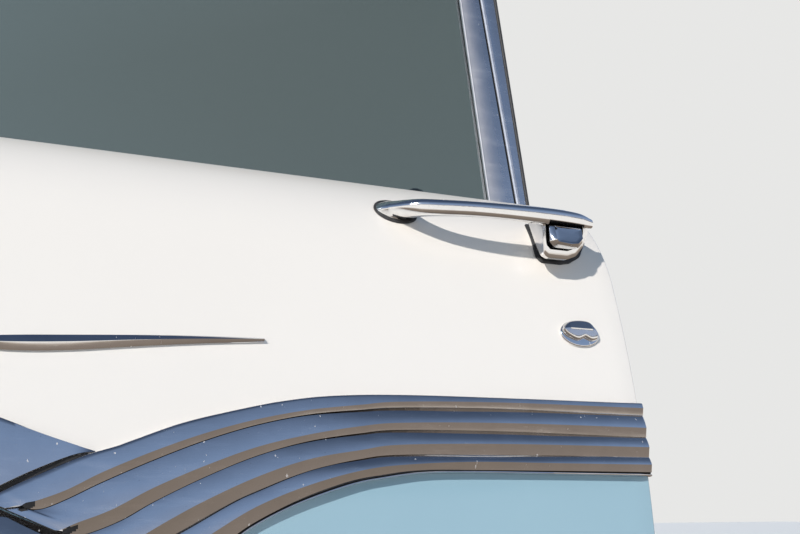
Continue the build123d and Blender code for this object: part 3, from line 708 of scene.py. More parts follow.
def band(name, a, b, section, sharp=(), low=0.22, even=None):
    """A strip on the door's side between two matched lines; section is a list
    of (share across from the top line, height). even is the width at which the
    heights hold; where the strip is narrower they shrink, so its tilt stays the same."""
    n_len = len(a)
    out = np.zeros((n_len, len(section) + 2, 3))
    grow = np.clip(np.linalg.norm(b - a, axis=1) / even, 0.15, 1.0) if even else np.ones(n_len)
    for j, (t, h) in enumerate(section):
        p = a * (1 - t) + b * t
        hh = np.where(h > 3.35, 3.35 + (h - 3.35) * grow, h) if even else np.full(n_len, h)
        out[:, j, :] = on_side(p[:, 0], p[:, 1], hh)
    for j, p in ((-2, b), (-1, a)):
        out[:, j, :] = on_side(p[:, 0], p[:, 1], np.full(n_len, low))
    n = len(section) + 2
    faces = grid_faces(n_len, n, close_v=True)
    faces.append(tuple(range(n)))
    faces.append(tuple((n_len - 1) * n + k for k in range(n))[::-1])
    me = mesh_from(name, M(out.reshape(-1, 3)), faces)
    import bmesh
    bm = bmesh.new()
    bm.from_mesh(me)
    bmesh.ops.recalc_face_normals(bm, faces=bm.faces)
    bm.to_mesh(me)
    bm.free()
    me.polygons.foreach_set("use_smooth", [True] * len(me.polygons))
    me.set_sharp_from_angle(angle=math.radians(35))
    mark_sharp(me, n, sharp)
    return me


def spear_moulding():
    top = [(-1179.0, 188.0), (-1020.0, 160.0), (-860.0, 124.0), (-700.0, 84.0), (-600.0, 55.5), (-559.0, 42.3),
           (-546.1, 37.8), (-531.7, 32.5), (-513.8, 26.1), (-497.0, 20.6), (-488.5, 17.8), (-481.0, 15.6)]
    low = [(-1179.0, 152.0), (-1020.0, 117.0), (-860.0, 76.0), (-700.0, 28.0), (-600.0, -1.0), (-558.6, -15.6),
           (-544.2, -8.6), (-528.4, -0.6), (-511.8, 6.9), (-498.0, 12.4), (-489.6, 14.6), (-482.0, 15.2)]
    a, b = paired(top, low, 260)
    sec = [(0.0, 0.3), (0.0, 2.5), (0.006, 3.0), (0.02, 3.35)]
    for k in range(1, 17):
        t = 0.02 + 0.975 * k / 16
        sec.append((t, 3.35 + 3.35 * ((t - 0.02) / 0.975) ** 0.93))
    sec += [(1.0, 6.55), (1.0, 2.0)]
    main = band("spear_a", a, b, sec, sharp=(len(sec) - 2,), even=56.0)
    # narrow channel between this plate and the first rib, painted black as shade
    gt = [(-558.4, -16.2), (-544.2, -9.0), (-528.4, -1.0), (-511.8, 6.5), (-498.0, 12.0), (-487.0, 14.6)]
    gl = [(-555.8, -17.2), (-543.6, -12.8), (-530.0, -5.9), (-513.0, 1.9), (-500.0, 7.9), (-485.0, 13.6)]
    a, b = paired(gt, gl, 60)
    chan = band("spear_g", a, b, [(0.0, 0.3), (0.0, 2.6), (0.5, 2.3), (1.0, 2.6)])
    # border strip under the crease, down to the point of the V
    st = [(-1179.0, 150.6), (-1020.0, 115.6), (-860.0, 74.6), (-700.0, 26.6), (-600.0, -2.6), (-556.0, -18.4),
          (-528.0, -29.9), (-500.0, -40.8), (-460.0, -56.0), (-424.0, -70.6)]
    sl = [(-1179.0, 140.0), (-1020.0, 103.0), (-860.0, 59.0), (-700.0, 9.0), (-600.0, -22.0), (-566.0, -33.5),
          (-530.0, -47.0), (-500.0, -59.0), (-465.0, -73.0), (-441.0, -81.0)]
    a, b = paired(st, sl, 240)
    sec2 = [(0.0, 0.3), (0.0, 0.6)]
    for k in range(0, 11):
        t = 0.04 + 0.86 * k / 10
        sec2.append((t, 0.7 + 6.0 * (1 - (1 - (t - 0.04) / 0.86) ** 1.05)))
    sec2 += [(0.96, 6.5), (1.0, 5.3)]
    strip = band("spear_c", a, b, sec2)
    off = len(main.polygons)
    n_chan = len(chan.polygons)
    me = join_meshes("spear_moulding", [main, chan, strip], 30)
    ob = add("spear_moulding", me, mats=(CHROME_TRIM, SHADE_BLACK), replaces=["spear_side_trim"])
    # painted shade: the channel takes the black shade material
    for p in me.polygons:
        if off <= p.index < off + n_chan:
            p.material_index = 1
    return ob


spear_moulding()

# ------------------------------------------------------------ dart ornament
def dart():
    top = [(-604.0, 90.0), (-580.0, 93.0), (-540.0, 96.6), (-500.0, 99.2), (-450.0, 102.2), (-400.0, 104.6), (-352.5, 106.0)]
    low = [(-604.0, 89.0), (-580.0, 86.8), (-540.0, 85.4), (-500.0, 87.8), (-450.0, 93.6), (-400.0, 98.8), (-352.5, 102.8)]
    a, b = paired(top, low, 120)
    sec = [(0.0, 0.3), (0.0, 1.7), (0.06, 2.1), (0.25, 2.9), (0.46, 3.6), (0.50, 3.7), (0.54, 3.6), (0.75, 2.7),
           (0.94, 1.9), (1.0, 1.5)]
    me = band("door_dart", a, b, sec, sharp=(5,))
    return add("door_dart", me, mats=(CHROME,), replaces=["door_ornament"])


dart()


# ------------------------------------------------------------ pull handle
def surf(z):
    return side(z)[0]


# centre X, Y, Z; turn about Z; height; thickness
GRIP = [(-211.5, 64.0, 235.0, -79.0, 17.0, 31.0), (-204.0, 48.5, 233.8, -56.0, 15.5, 23.0),
        (-187.0, 36.2, 232.7, -26.0, 14.5, 17.0), (-157.0, 29.0, 233.0, -8.0, 14.0, 15.5),
        (-118.0, 26.8, 233.7, 0.0, 14.5, 15.5), (-80.0, 27.4, 234.3, 2.0, 15.5, 15.5),
        (-50.0, 29.3, 234.2, 5.0, 14.5, 15.0), (-33.0, 32.0, 234.0, 7.0, 9.0, 9.5)]
BAR_FACE = [  # turn of the face from, to (degrees up from level), length, steps
    (90, 15, 5.63, 12), (15, 2, 1.9, 4), (2, -1, 0.7, 3), (-1, -6, 3.6, 6), (-6, -15, 0.8, 2), (-15, -90, 5.24, 12)]


def bar_section():
    p = q = 0.0
    pts = [(0.0, 0.0, 90.0)]
    for a0, a1, length, n in BAR_FACE:
        for i in range(n):
            th = math.radians(a0 + (a1 - a0) * (i + 0.5) / n)
            p -= math.sin(th) * length / n
            q -= math.cos(th) * length / n
            pts.append((p, q, a0 + (a1 - a0) * (i + 1) / n))
    pb, qb = p, q
    a_back = 14.6 + min(t[0] for t in pts) - 0.5 * pb
    for i in range(1, 22):
        f = math.radians(-90 + 180 * i / 22)
        w = (math.degrees(f) + 90) / 180
        nq, n_p = math.sin(f) / (-0.5 * qb), math.cos(f) / a_back
        pts.append((pb * (1 - w) + a_back * math.cos(f), 0.5 * qb - 0.5 * qb * math.sin(f),
                    math.degrees(math.atan2(nq, -n_p))))
    a = np.array(pts)
    a[:, 0] = (a[:, 0] - a[:, 0].min()) / (a[:, 0].max() - a[:, 0].min()) - 0.5
    a[:, 1] = (a[:, 1] - a[:, 1].min()) / (a[:, 1].max() - a[:, 1].min()) - 0.5
    return a


def handle():
    sec = bar_section()
    th = np.radians(sec[:, 2])
    n_out, n_up = -np.cos(th), np.sin(th)

    def oval(a, b):
        k = np.sqrt((a * n_out) ** 2 + (b * n_up) ** 2)
        return a * a * n_out / k, b * b * n_up / k

    rows = smooth_curve(GRIP, 84)
    behind = rows[rows[:, 0] > -190.0]
    extra = [[np.interp(x, behind[:, 0], behind[:, c]) for c in range(6)] for x in (-84.3, -84.1, -44.6, -44.4)]
    rows = np.vstack([rows, extra])
    head = rows[:len(rows) - 4]
    front = head[head[:, 0] <= -190.0]
    rest_rows = np.vstack([head[head[:, 0] > -190.0], extra])
    rest_rows = rest_rows[np.argsort(rest_rows[:, 0])]
    rows = np.vstack([front, rest_rows])
    # rounded tail
    last = rows[-1]
    for dx, f in ((0.9, 0.93), (1.6, 0.78), (2.1, 0.55), (2.35, 0.28), (2.4, 0.05)):
        r = last.copy()
        r[0] += dx
        r[4] *= f
        r[5] *= f
        rows = np.vstack([rows, r])
    rings, under = [], []
    ex, ez = oval(18.6, 10.4)
    # at the foot "out" is towards the front
    rings.append(np.stack([-214.0 + ex, surf(236.0 + ez) - 1.6, 236.0 + ez], 1))
    ex, ez = oval(18.3, 10.1)
    rings.append(np.stack([-214.0 + ex, surf(236.0 + ez) - 2.6, 236.0 + ez], 1))
    ex, ez = oval(17.4, 9.4)
    rings.append(np.stack([-213.8 + ex, surf(236.0 + ez) * 0.6 + 0.4 * 69.0 - 4.6, 235.7 + ez], 1))
    for i, (x, y, z, yaw, h, t) in enumerate(rows):
        w = 1.0 - float(ease(x, -212.0, -196.0))
        p, q = sec[:, 0] * t, sec[:, 1] * h
        a, b = oval(0.5 * t, 0.5 * h)
        p, q = p * (1 - w) + a * w, q * (1 - w) + b * w
        c, s_ = math.cos(math.radians(yaw)), math.sin(math.radians(yaw))
        ring = np.stack([x - s_ * p, y + c * p, z + q], 1)
        if -84.2 < x < -44.5:
            ring[:, 2] = np.maximum(ring[:, 2], 230.3)
        rings.append(ring)
    me = loft("pull_handle_bar", rings, sharp=38)
    n = len(sec)
    # painted shade: the bar's underside inside the cup's pocket is black
    for poly in me.polygons:
        zs = [me.vertices[v].co.z * 1000.0 - S[2] for v in poly.vertices]
        xc = poly.center[0] * 1000.0 - S[0]
        if -84.25 < xc < -44.4 and max(zs) < 230.4:
            poly.material_index = 1
    return me


def closed_rings(polys, radii, ys, n=4):
    out = []
    for poly, y in zip(polys, ys):
        o = rounded_poly(poly, radii, n)
        yy = y(o[:, 1]) if callable(y) else np.full(len(o), float(y))
        out.append(np.stack([o[:, 0], yy, o[:, 1]], 1))
    return out


def blend_poly(a, b, t):
    return [(p[0] * (1 - t) + q[0] * t, p[1] * (1 - t) + q[1] * t) for p, q in zip(a, b)]


CUP_FOOT = [(-74.0, 238.2), (-76.4, 215.6), (-76.6, 203.8), (-73.2, 201.0), (-56.3, 201.1), (-45.4, 204.9),
            (-34.2, 214.8), (-23.1, 228.4), (-20.8, 239.4)]
CUP_RIM = [(-87.5, 238.0), (-87.5, 214.0), (-86.5, 199.5), (-82.0, 196.8), (-62.0, 197.0), (-52.0, 201.0),
           (-44.5, 210.0), (-38.0, 225.0), (-38.0, 238.0)]
CUP_MID = [(-86.7, 237.4), (-86.7, 214.0), (-85.7, 203.5), (-81.5, 200.6), (-62.0, 200.6), (-54.5, 203.6),
           (-46.8, 211.8), (-41.0, 223.0), (-40.6, 237.4)]
CUP_IN = [(-85.0, 236.0), (-85.0, 214.0), (-84.4, 208.4), (-80.6, 204.6), (-62.0, 204.6), (-56.6, 206.7),
          (-49.0, 213.7), (-44.4, 221.0), (-44.0, 236.0)]
CUP_R = [2.0, 6.0, 4.0, 3.0, 6.0, 8.0, 12.0, 9.0, 2.0]


def ridge_y(z):
    return 33.0 + (z - 200.0) * 0.517


def cup():
    def level(y):
        return lambda z: np.full(len(z), float(y))

    waist = blend_poly(CUP_FOOT, CUP_RIM, 0.30)
    near = blend_poly(CUP_FOOT, CUP_RIM, 0.92)
    rim_in = blend_poly(CUP_RIM, CUP_MID, 0.30)
    polys = [CUP_FOOT, waist, near, CUP_RIM, CUP_RIM, CUP_RIM, rim_in, CUP_MID, CUP_IN, CUP_IN, CUP_IN]
    ys = [lambda z: surf(z) - 1.7, lambda z: surf(z) * 0.62 + 0.38 * ridge_y(z), lambda z: ridge_y(z) + 1.6,
          lambda z: ridge_y(z), lambda z: 0.5 * ridge_y(z) + 14.0, level(27.3), level(26.6), level(26.1),
          level(25.85), level(27.6), level(44.0)]
    rings = closed_rings(polys, CUP_R, ys)
    me = loft("pull_handle_cup", rings, sharp=30)
    for poly in me.polygons:
        c = np.array(poly.center) * 1000.0 - S
        inner = all((v.co.y * 1000.0 - S[1]) > 27.4 for v in (me.vertices[k] for k in poly.vertices))
        deep = min((me.vertices[k].co.y * 1000.0 - S[1]) for k in poly.vertices)
        if inner and deep > 27.4 and -85.2 < c[0] < -43.9 and 204.4 < c[2] < 236.2:
            # painted shade: the pocket's wall and bottom are black
            nx, ny, nz = poly.normal
            towards = (c[0] + 64.0) * nx + (c[2] - 220.0) * nz
            if towards < 0 or (abs(ny) > 0.9 and c[1] > 43.0):
                poly.material_index = 1
        elif poly.normal[0] < -0.35 and c[0] < -70.0:
            poly.material_index = 2       # outside of the front wall
    return me


handle_ob = add("pull_handle", join_meshes("pull_handle", [handle(), cup()], 34), mats=(CHROME, SHADE_BLACK, CUP_WALL),
                replaces=["handle_grip"])


# ------------------------------------------------------------ push button
def push_button():
    stem = [(-81.3, 227.4), (-81.3, 211.0), (-77.0, 206.6), (-61.5, 206.6), (-53.8, 209.8), (-48.2, 216.0), (-45.2, 227.4)]
    head = [(-81.3, 227.4), (-81.3, 211.0), (-77.0, 206.6), (-61.0, 206.3), (-51.0, 208.0), (-44.9, 214.6), (-44.7, 227.4)]
    face = [(-76.9, 226.9), (-76.9, 213.2), (-75.0, 211.0), (-61.5, 210.2), (-53.0, 211.4), (-46.8, 216.8), (-45.7, 226.9)]
    rs = [1.2, 3.2, 3.4, 4.0, 5.0, 6.0, 1.2]
    rf = [1.0, 1.8, 1.8, 4.0, 4.5, 5.0, 1.0]

    def lean(z, x=-63.0):
        return 19.6 + np.maximum(z - 210.6, 0) * 0.35 + (x + 63.0) * 0.05

    def outline(poly, r, yf):
        o = rounded_poly(poly, r, 6)
        return np.stack([o[:, 0], yf(o), o[:, 1]], 1)

    def bevel(t):
        r = [a * (1 - t) + b * t for a, b in zip(rs, rf)]
        return outline(blend_poly(head, face, t), r, lambda o: lean(o[:, 1], o[:, 0])
                       + (1 - t) ** 1.2 * np.maximum(24.9 - lean(o[:, 1], o[:, 0]), 1.4))
    rings = [outline(stem, rs, lambda o: np.full(len(o), 43.5)),
             outline(stem, rs, lambda o: np.maximum(25.1, lean(o[:, 1], o[:, 0]) + 1.6)),
             bevel(0.0), bevel(0.10), bevel(0.35), bevel(0.75), bevel(1.0)]
    last = rings[-1]
    c = np.array([-61.5, 0.0, 218.6])
    for k, (f, dip) in enumerate(((0.955, 0.05), (0.92, 0.28), (0.7, 0.42), (0.4, 0.5), (0.12, 0.52))):
        r = last.copy()
        r[:, 0] = c[0] + (last[:, 0] - c[0]) * f
        r[:, 2] = c[2] + (last[:, 2] - c[2]) * f
        r[:, 1] = lean(r[:, 2], r[:, 0]) + dip
        rings.append(r)
    me = loft("push_button_cap", rings, sharp=30)
    return add("push_button_cap", me, mats=(CHROME,), replaces=["push_button"])


push_button()


# ------------------------------------------------------------ gaskets, key cover
def pad_on_side(name, ring_at, steps):
    """A thin piece that lies on the side; ring_at(inset) gives its outline."""
    rings = []
    for inset, h in steps:
        o = ring_at(inset)
        rings.append(on_side(o[:, 0], o[:, 1], np.full(len(o), h)))
    return loft(name, rings, sharp=35)


def ellipse_at(cx, cz, a, b, n=72):
    def at(inset):
        t = np.linspace(0, 2 * math.pi, n, endpoint=False)
        return np.stack([cx + (a - inset) * np.cos(t), cz + (b - inset) * np.sin(t)], 1)
    return at


front = pad_on_side("gasket_front", ellipse_at(-213.2, 235.0, 21.0, 12.6),
                    ((0.0, 0.15), (0.0, 1.0), (0.25, 1.5), (0.8, 1.75), (2.4, 1.75)))
GASKET = [(-75.9, 238.6), (-77.9, 222.0), (-80.8, 202.0), (-76.4, 196.5), (-56.0, 196.4), (-44.6, 198.7), (-30.4, 206.4),
          (-16.4, 224.2), (-15.2, 239.4)]
GASKET_IN = [(-72.6, 237.0), (-74.2, 222.0), (-75.6, 205.0), (-73.0, 202.0), (-56.4, 202.0), (-46.0, 205.6), (-34.6, 215.6),
             (-22.9, 228.6), (-21.2, 237.0)]


def gasket_ring(t):
    return rounded_poly(blend_poly(GASKET, GASKET_IN, t), [1.5, 8, 4, 4, 8, 8, 12, 10, 1.5], 4)


rear = pad_on_side("gasket_rear", gasket_ring, ((0.0, 0.15), (0.0, 1.05), (0.12, 1.5), (0.3, 1.7), (1.0, 1.7)))
add("gasket_front", front, mats=(RUBBER,), replaces=["handle_front_gasket"])
add("gasket_rear", rear, mats=(RUBBER,), replaces=["handle_rear_gasket"])

plate = pad_on_side("key_plate", ellipse_at(-51.4, 129.2, 20.6, 12.3),
                    ((0.0, 0.2), (0.0, 1.2), (0.3, 1.75), (0.9, 2.05), (1.7, 2.1), (6.0, 2.25)))
add("key_plate", plate, mats=(CHROME,), replaces=["key_base"])


def key_flap():
    line = [(-70.6, 131.0), (-67.6, 136.2), (-60.0, 139.9), (-49.0, 141.2), (-40.5, 140.2), (-36.0, 135.4),
            (-33.6, 128.6), (-34.2, 124.6), (-37.6, 122.9), (-41.8, 122.5), (-45.6, 123.9), (-48.4, 124.8),
            (-51.4, 123.6), (-56.4, 122.2), (-64.0, 124.6), (-68.6, 127.6)]
    o = smooth_curve(line + [line[0]], 121)[:-1]
    ridge = np.stack([np.clip(o[:, 0], -63.0, -40.0), np.full(len(o), 132.4)], 1)
    span = np.linalg.norm(ridge - o, axis=1)
    low = o[:, 1] < 131.2
    rings = [on_side(o[:, 0], o[:, 1], np.full(len(o), 2.3))]

    def height(q, edge):
        """Height of the flap: the upper facet rises to the ridge, the lower one
        falls away slowly, and both roll over at the edge."""
        top = 6.4 - 0.30 * np.maximum(q[:, 1] - 132.4, 0) - 0.13 * np.maximum(np.abs(q[:, 0] + 51.5) - 11.5, 0)
        bot = 6.25 - 0.16 * np.maximum(132.0 - q[:, 1], 0) - 0.10 * np.maximum(np.abs(q[:, 0] + 51.5) - 12.5, 0)
        base = np.where(q[:, 1] >= 132.2, top, bot)
        roll = 1 - (1 - np.clip(edge / 1.9, 0, 1)) ** 2.4
        return 2.9 + (base - 2.9) * roll
    for e in (0.0, 0.15, 0.35, 0.6, 0.95, 1.35, 1.9):
        t = np.minimum(e / span, 0.9)[:, None]
        q = o + (ridge - o) * t
        rings.append(on_side(q[:, 0], q[:, 1], height(q, np.full(len(o), e))))
    for f in (0.25, 0.5, 0.75, 0.93, 0.99):
        t = (np.minimum(1.9 / span, 0.9) * (1 - f) + f)[:, None]
        q = o + (ridge - o) * t
        rings.append(on_side(q[:, 0], q[:, 1], height(q, np.full(len(o), 9.0))))
    # small flat along the ridge
    me = loft("key_flap", rings, sharp=24)
    return add("key_flap", me, mats=(CHROME,), replaces=["key_cover"])


key_flap()


# ------------------------------------------------------------ window: glass plane
SIN_L, COS_L = math.sin(LEAN), math.cos(LEAN)


def gp(x, up, out):
    """Point by X, height up the leaning glass from the belt, and distance outward."""
    x, up, out = np.broadcast_arrays(np.asarray(x, float), np.asarray(up, float), np.asarray(out, float))
    return np.stack([x, 134.0 + up * SIN_L - out * COS_L, 270.0 + up * COS_L + out * SIN_L], -1)


def inset_poly(pts, d):
    """Convex or nearly convex 2-D polygon moved in by d."""
    p = np.asarray(pts, float)
    area = 0.5 * np.sum(p[:, 0] * np.roll(p[:, 1], -1) - np.roll(p[:, 0], -1) * p[:, 1])
    sgn = 1.0 if area > 0 else -1.0
    out = []
    for k in range(len(p)):
        a, b, c = p[k - 1], p[k], p[(k + 1) % len(p)]
        u, v = (b - a) / np.linalg.norm(b - a), (c - b) / np.linalg.norm(c - b)
        nu, nv = sgn * np.array([-u[1], u[0]]), sgn * np.array([-v[1], v[0]])
        m = (nu + nv) / (1.0 + nu @ nv)
        out.append(b + m * d)
    return out


def plate_in_glass(name, pts, r, layers, n=8, sharp=35):
    """Rounded plate in the glass plane: layers of (inset, distance outward)."""
    rings = []
    for inset, out in layers:
        rr = [max(0.4, q - inset) for q in (r if hasattr(r, "__len__") else [r] * len(pts))]
        o = rounded_poly(inset_poly(pts, inset), rr, n)
        rings.append(gp(o[:, 0], o[:, 1], out))
    return loft(name, rings, sharp=sharp)


top_line = smooth_curve([(-772.0, 281.0), (-600.0, 287.0), (-430.0, 287.0), (-250.0, 282.0), (-70.0, 270.0)], 40)
pane = [(-70.0, -58.0), (-771.5, -58.0)] + [tuple(q) for q in top_line]
pane_r = [2.0, 2.0, 14.0] + [30.0] * (len(top_line) - 2) + [10.0]
door_pane = plate_in_glass("door_pane", pane, pane_r, ((1.6, -5.9), (0.5, -5.5), (0.0, -4.6), (0.0, -1.4), (0.5, -0.5), (1.6, -0.1)), 4)
add("door_pane", door_pane, mats=(GLASS_TINT_AND_SHADE,), replaces=["door_glass"])


def bar_in_glass(name, section, s0, s1, steps=2, sharp=28, moved=None):
    """Upright bar: section of (X, distance outward), from s0 up to s1; moved(X, up) may shift its points."""
    rings = []
    for up in np.linspace(s0, s1, steps):
        rings.append(gp([q[0] + (moved(q[0], up) if moved else 0.0) for q in section], up, [q[1] for q in section]))
    return loft(name, rings, sharp=sharp)


def seam_shift(x, up):
    """The seam between the two strips slants: the front one widens downwards."""
    w = 8.3 - 0.0237 * up
    return w * float(np.clip((x + 78.0) / 18.9, 0, 1)) if x < -59.0 else w * float(x < -49.9)


# rear channel: the bright bar that holds the glass, a groove, and the second narrow strip with its bead
A = [(-80.9, 0.5), (-81.0, 2.9), (-80.7, 3.5), (-80.1, 3.7), (-79.5, 3.4), (-79.3, 2.6), (-79.0, 2.4)]
for k in range(0, 13):
    t = k / 12
    A.append((-78.9 + 19.0 * math.sin(t * math.pi / 2 * 0.98) ** 1.15, 2.4 + 1.6 * math.sin(t * math.pi / 2) - 0.3 * t * t))
A += [(-59.4, 3.3), (-59.2, 2.2), (-59.1, 0.2), (-59.1, -9.6), (-69.8, -9.9), (-80.6, -9.8), (-81.0, -9.2), (-80.9, -6.4),
      (-70.3, -6.3), (-69.9, -6.1), (-69.9, 0.2), (-70.3, 0.4)]
B = [(-58.9, -9.4), (-58.9, -0.8), (-58.4, -0.6), (-55.9, -0.4), (-55.4, 0.2)]
for k in range(0, 9):
    u = k / 4 - 1.0
    B.append((-53.1 + 2.1 * u, 0.32 + 0.60 * 0.5 * (1 + math.cos(math.pi * u))))
B += [(-50.6, 0.1), (-50.0, -0.2), (-43.0, -0.5), (-36.0, -0.55), (-35.2, -0.6)]
B += [(-34.8, -1.0), (-34.8, -9.4)]
C = [(-34.7, -9.0), (-34.7, 0.2), (-34.2, 0.8), (-33.0, 1.0), (-31.9, 0.6), (-31.6, -0.2), (-31.6, -9.0)]
m_a = bar_in_glass("ch_a", A, -57.0, 271.5, moved=seam_shift)
m_b = bar_in_glass("ch_b", B, -29.5, 270.0, moved=seam_shift)
m_c = bar_in_glass("ch_c", C, -29.5, 269.4)
for me_, k in ((m_a, 0), (m_b, 0), (m_c, 1)):
    me_.polygons.foreach_set("material_index", [k] * len(me_.polygons))
for f_ in m_a.polygons:
    if f_.normal[0] < -0.35 and f_.center[0] * 1000 - S[0] < -78.0:
        f_.material_index = 2
    elif f_.normal[0] > 0.25 and f_.center[0] * 1000 - S[0] > -58.0:
        # painted shade: the bar's wall at the seam is black rubber, a dark line
        f_.material_index = 1             # dark wall at the seam
for f_ in m_b.polygons:
    fx = f_.center[0] * 1000 - S[0] - (8.3 - 0.0237 * 120.25)
    if -55.25 < fx < -50.9:
        f_.material_index = 4
    elif fx < -55.25:
        # painted shade: the groove floor and step in front of the bead are black rubber, a dark line
        f_.material_index = 1
add("glass_channel", join_meshes("glass_channel", [m_a, m_b, m_c], 24), mats=(BAR, RUBBER, EDGE, STAINLESS, BEAD),
    replaces=["glass_rear_channel"])

# division bar between the vent window and the door glass
D = [(-791.8, -9.6), (-791.8, 1.4), (-791.2, 2.4), (-789.5, 3.2)]
for k in range(0, 9):
    t = k / 8
    D.append((-788.5 + 11.5 * t, 3.3 + 0.6 * math.sin(math.pi * t)))
D += [(-775.6, 3.2), (-774.3, 2.4), (-774.1, 0.5), (-779.8, 0.5), (-779.8, -6.5), (-774.1, -6.5), (-774.1, -9.4), (-774.8, -9.9), (-791.0, -9.9)]
add("division_post", bar_in_glass("division_post", D, -33.6, 279.6), mats=(STAINLESS,), replaces=["division_bar"])

# vent window
VENT = [(-793.0, 4.0), (-793.0, 279.0), (-985.0, 262.0), (-1012.0, 236.0), (-1004.0, 4.0)]
VR = [3.0, 9.0, 26.0, 26.0, 6.0]


def frame_ring():
    front_l = [(0.2, -9.2), (0.2, 1.6), (0.6, 2.8), (1.8, 3.5), (3.6, 3.85), (6.2, 3.95), (8.8, 3.8), (10.8, 3.2),
               (12.1, 2.2), (12.8, 0.9), (12.9, -0.7), (8.3, -0.85), (8.3, -5.75), (12.9, -5.9), (12.6, -8.8), (11.0, -9.8), (1.2, -9.9)]
    rings = []
    for inset, out in front_l:
        o = rounded_poly(inset_poly(VENT, inset), [max(1.0, q - inset * 0.9) for q in VR], 8)
        rings.append(gp(o[:, 0], o[:, 1], out))
    return loft("vent_surround", rings, caps=False, sharp=30, close_u=True)


add("vent_surround", frame_ring(), mats=(STAINLESS,), replaces=["vent_frame"])
vp = inset_poly(VENT, 8.8)
vent_pane = plate_in_glass("vent_pane", vp, [2, 6, 18, 18, 4], ((0.8, -5.4), (0.0, -4.9), (0.0, -1.7), (0.8, -1.2)), 6)
add("vent_pane", vent_pane, mats=(GLASS_TINT_AND_SHADE,), replaces=["vent_glass"])


def vent_catch():
    base = plate_in_glass("vl_base", [(-828, 111), (-802, 111), (-802, 125), (-828, 125)], 5.0,
                          ((0.2, -10.3), (0.0, -11.2), (0.0, -17.0), (1.0, -19.8), (3.4, -21.6)), 6)
    lever = plate_in_glass("vl_lever", [(-831.6, 89.4), (-822.6, 89.4), (-822.2, 134.6), (-831.8, 134.6)], 4.4,
                           ((1.4, -21.4), (0.3, -22.2), (0.0, -23.4), (0.0, -25.6), (0.6, -27.0), (2.0, -27.8)), 8)
    pivot = plate_in_glass("vl_pivot", [(-819.0, 113.0), (-809.0, 113.0), (-809.0, 123.0), (-819.0, 123.0)], 4.9,
                           ((0.0, -21.0), (0.0, -23.4), (0.8, -24.6), (2.6, -25.2)), 6)
    return join_meshes("vent_catch", [base, lever, pivot], 32)


add("vent_catch", vent_catch(), mats=(CHROME_IN,), replaces=["vent_latch"])


# belt seals: flocked strip with a soft lip, along X
def seal(name, x0, x1, section, node_name):
    rings = []
    for x in np.linspace(x0, x1, 30):
        rings.append(gp(x, [q[0] for q in section], [q[1] for q in section]))
    return add(name, loft(name, rings, sharp=35), mats=(RUBBER,), replaces=[node_name])


seal("belt_seal_outer", -771.5, -82.0, [(-25.6, 0.6), (-25.6, 2.4), (-24.6, 2.9), (-6.0, 2.9), (-3.4, 2.6), (-2.2, 1.6),
                                        (-2.0, 0.8), (-3.0, 0.5), (-8.0, 1.4), (-16.0, 1.0), (-22.0, 0.5)], "outer_belt_seal")
seal("belt_seal_inner", -771.5, -82.6, [(-23.6, -6.6), (-18.0, -6.6), (-10.0, -7.6), (-4.0, -6.8), (-0.8, -6.5), (-0.2, -7.2),
                                        (-0.6, -9.6), (-2.0, -11.4), (-6.0, -11.9), (-22.0, -11.9), (-23.6, -11.0)], "inner_belt_seal")


# ------------------------------------------------------------ inside and edges
def lathe(name, centre, axis, prof, n=40, sharp=32):
    """Turned piece: prof is a list of (radius, distance along the axis)."""
    c, a = np.array(centre, float), np.array(axis, float)
    e1 = np.cross(a, (0, 0, 1.0)) if abs(a[2]) < 0.9 else np.array((1.0, 0, 0))
    e1 = e1 / np.linalg.norm(e1)
    e2 = np.cross(a, e1)
    t = np.linspace(0, 2 * math.pi, n, endpoint=False)[:, None]
    return loft(name, [c + a * d + r * (np.cos(t) * e1 + np.sin(t) * e2) for r, d in prof], sharp=sharp)


def outline_loft(name, pts, r, layers, axis, n=6, sharp=32):
    """Flat piece from a rounded 2-D outline: layers of (inset, position along the axis).
    axis "x" takes (y, z) outlines, axis "y" takes (x, z) outlines."""
    rings = []
    for inset, a in layers:
        rr = [max(0.3, q - inset) for q in (r if hasattr(r, "__len__") else [r] * len(pts))]
        o = rounded_poly(inset_poly(pts, inset), rr, n)
        col = np.full(len(o), float(a))
        rings.append(np.stack([col, o[:, 0], o[:, 1]] if axis == "x" else [o[:, 0], col, o[:, 1]], -1))
    return loft(name, rings, sharp=sharp)


def along_x(name, pts, r, stations, n=6, sharp=32):
    """Loft along X of a rounded (y, z) outline. stations: (x, function or None) where
    the function takes and returns the outline."""
    o = rounded_poly(pts, r, n)
    rings = []
    for x, f in stations:
        q = f(o) if f else o
        rings.append(np.stack([np.full(len(q), float(x)), q[:, 0], q[:, 1]], -1))
    return loft(name, rings, sharp=sharp)


def tube(name, path, r, n=10):
    """Round bead along a path, closed ends drawn in."""
    path = np.asarray(path, float)
    tan = np.gradient(path, axis=0)
    tan /= np.linalg.norm(tan, axis=1)[:, None]
    rings = []
    ref = np.array([0.0, 1.0, 0.0])
    for i, (c, t) in enumerate(zip(path, tan)):
        u = np.cross(t, ref)
        u /= np.linalg.norm(u)
        w = np.cross(u, t)
        k = r * (0.35 if i in (0, len(path) - 1) else 1.0)
        a = np.linspace(0, 2 * math.pi, n, endpoint=False)[:, None]
        rings.append(c + k * (np.cos(a) * u + np.sin(a) * w))
    return loft(name, rings, sharp=60)


def set_index(me, k):
    me.polygons.foreach_set("material_index", [k] * len(me.polygons))
    return me


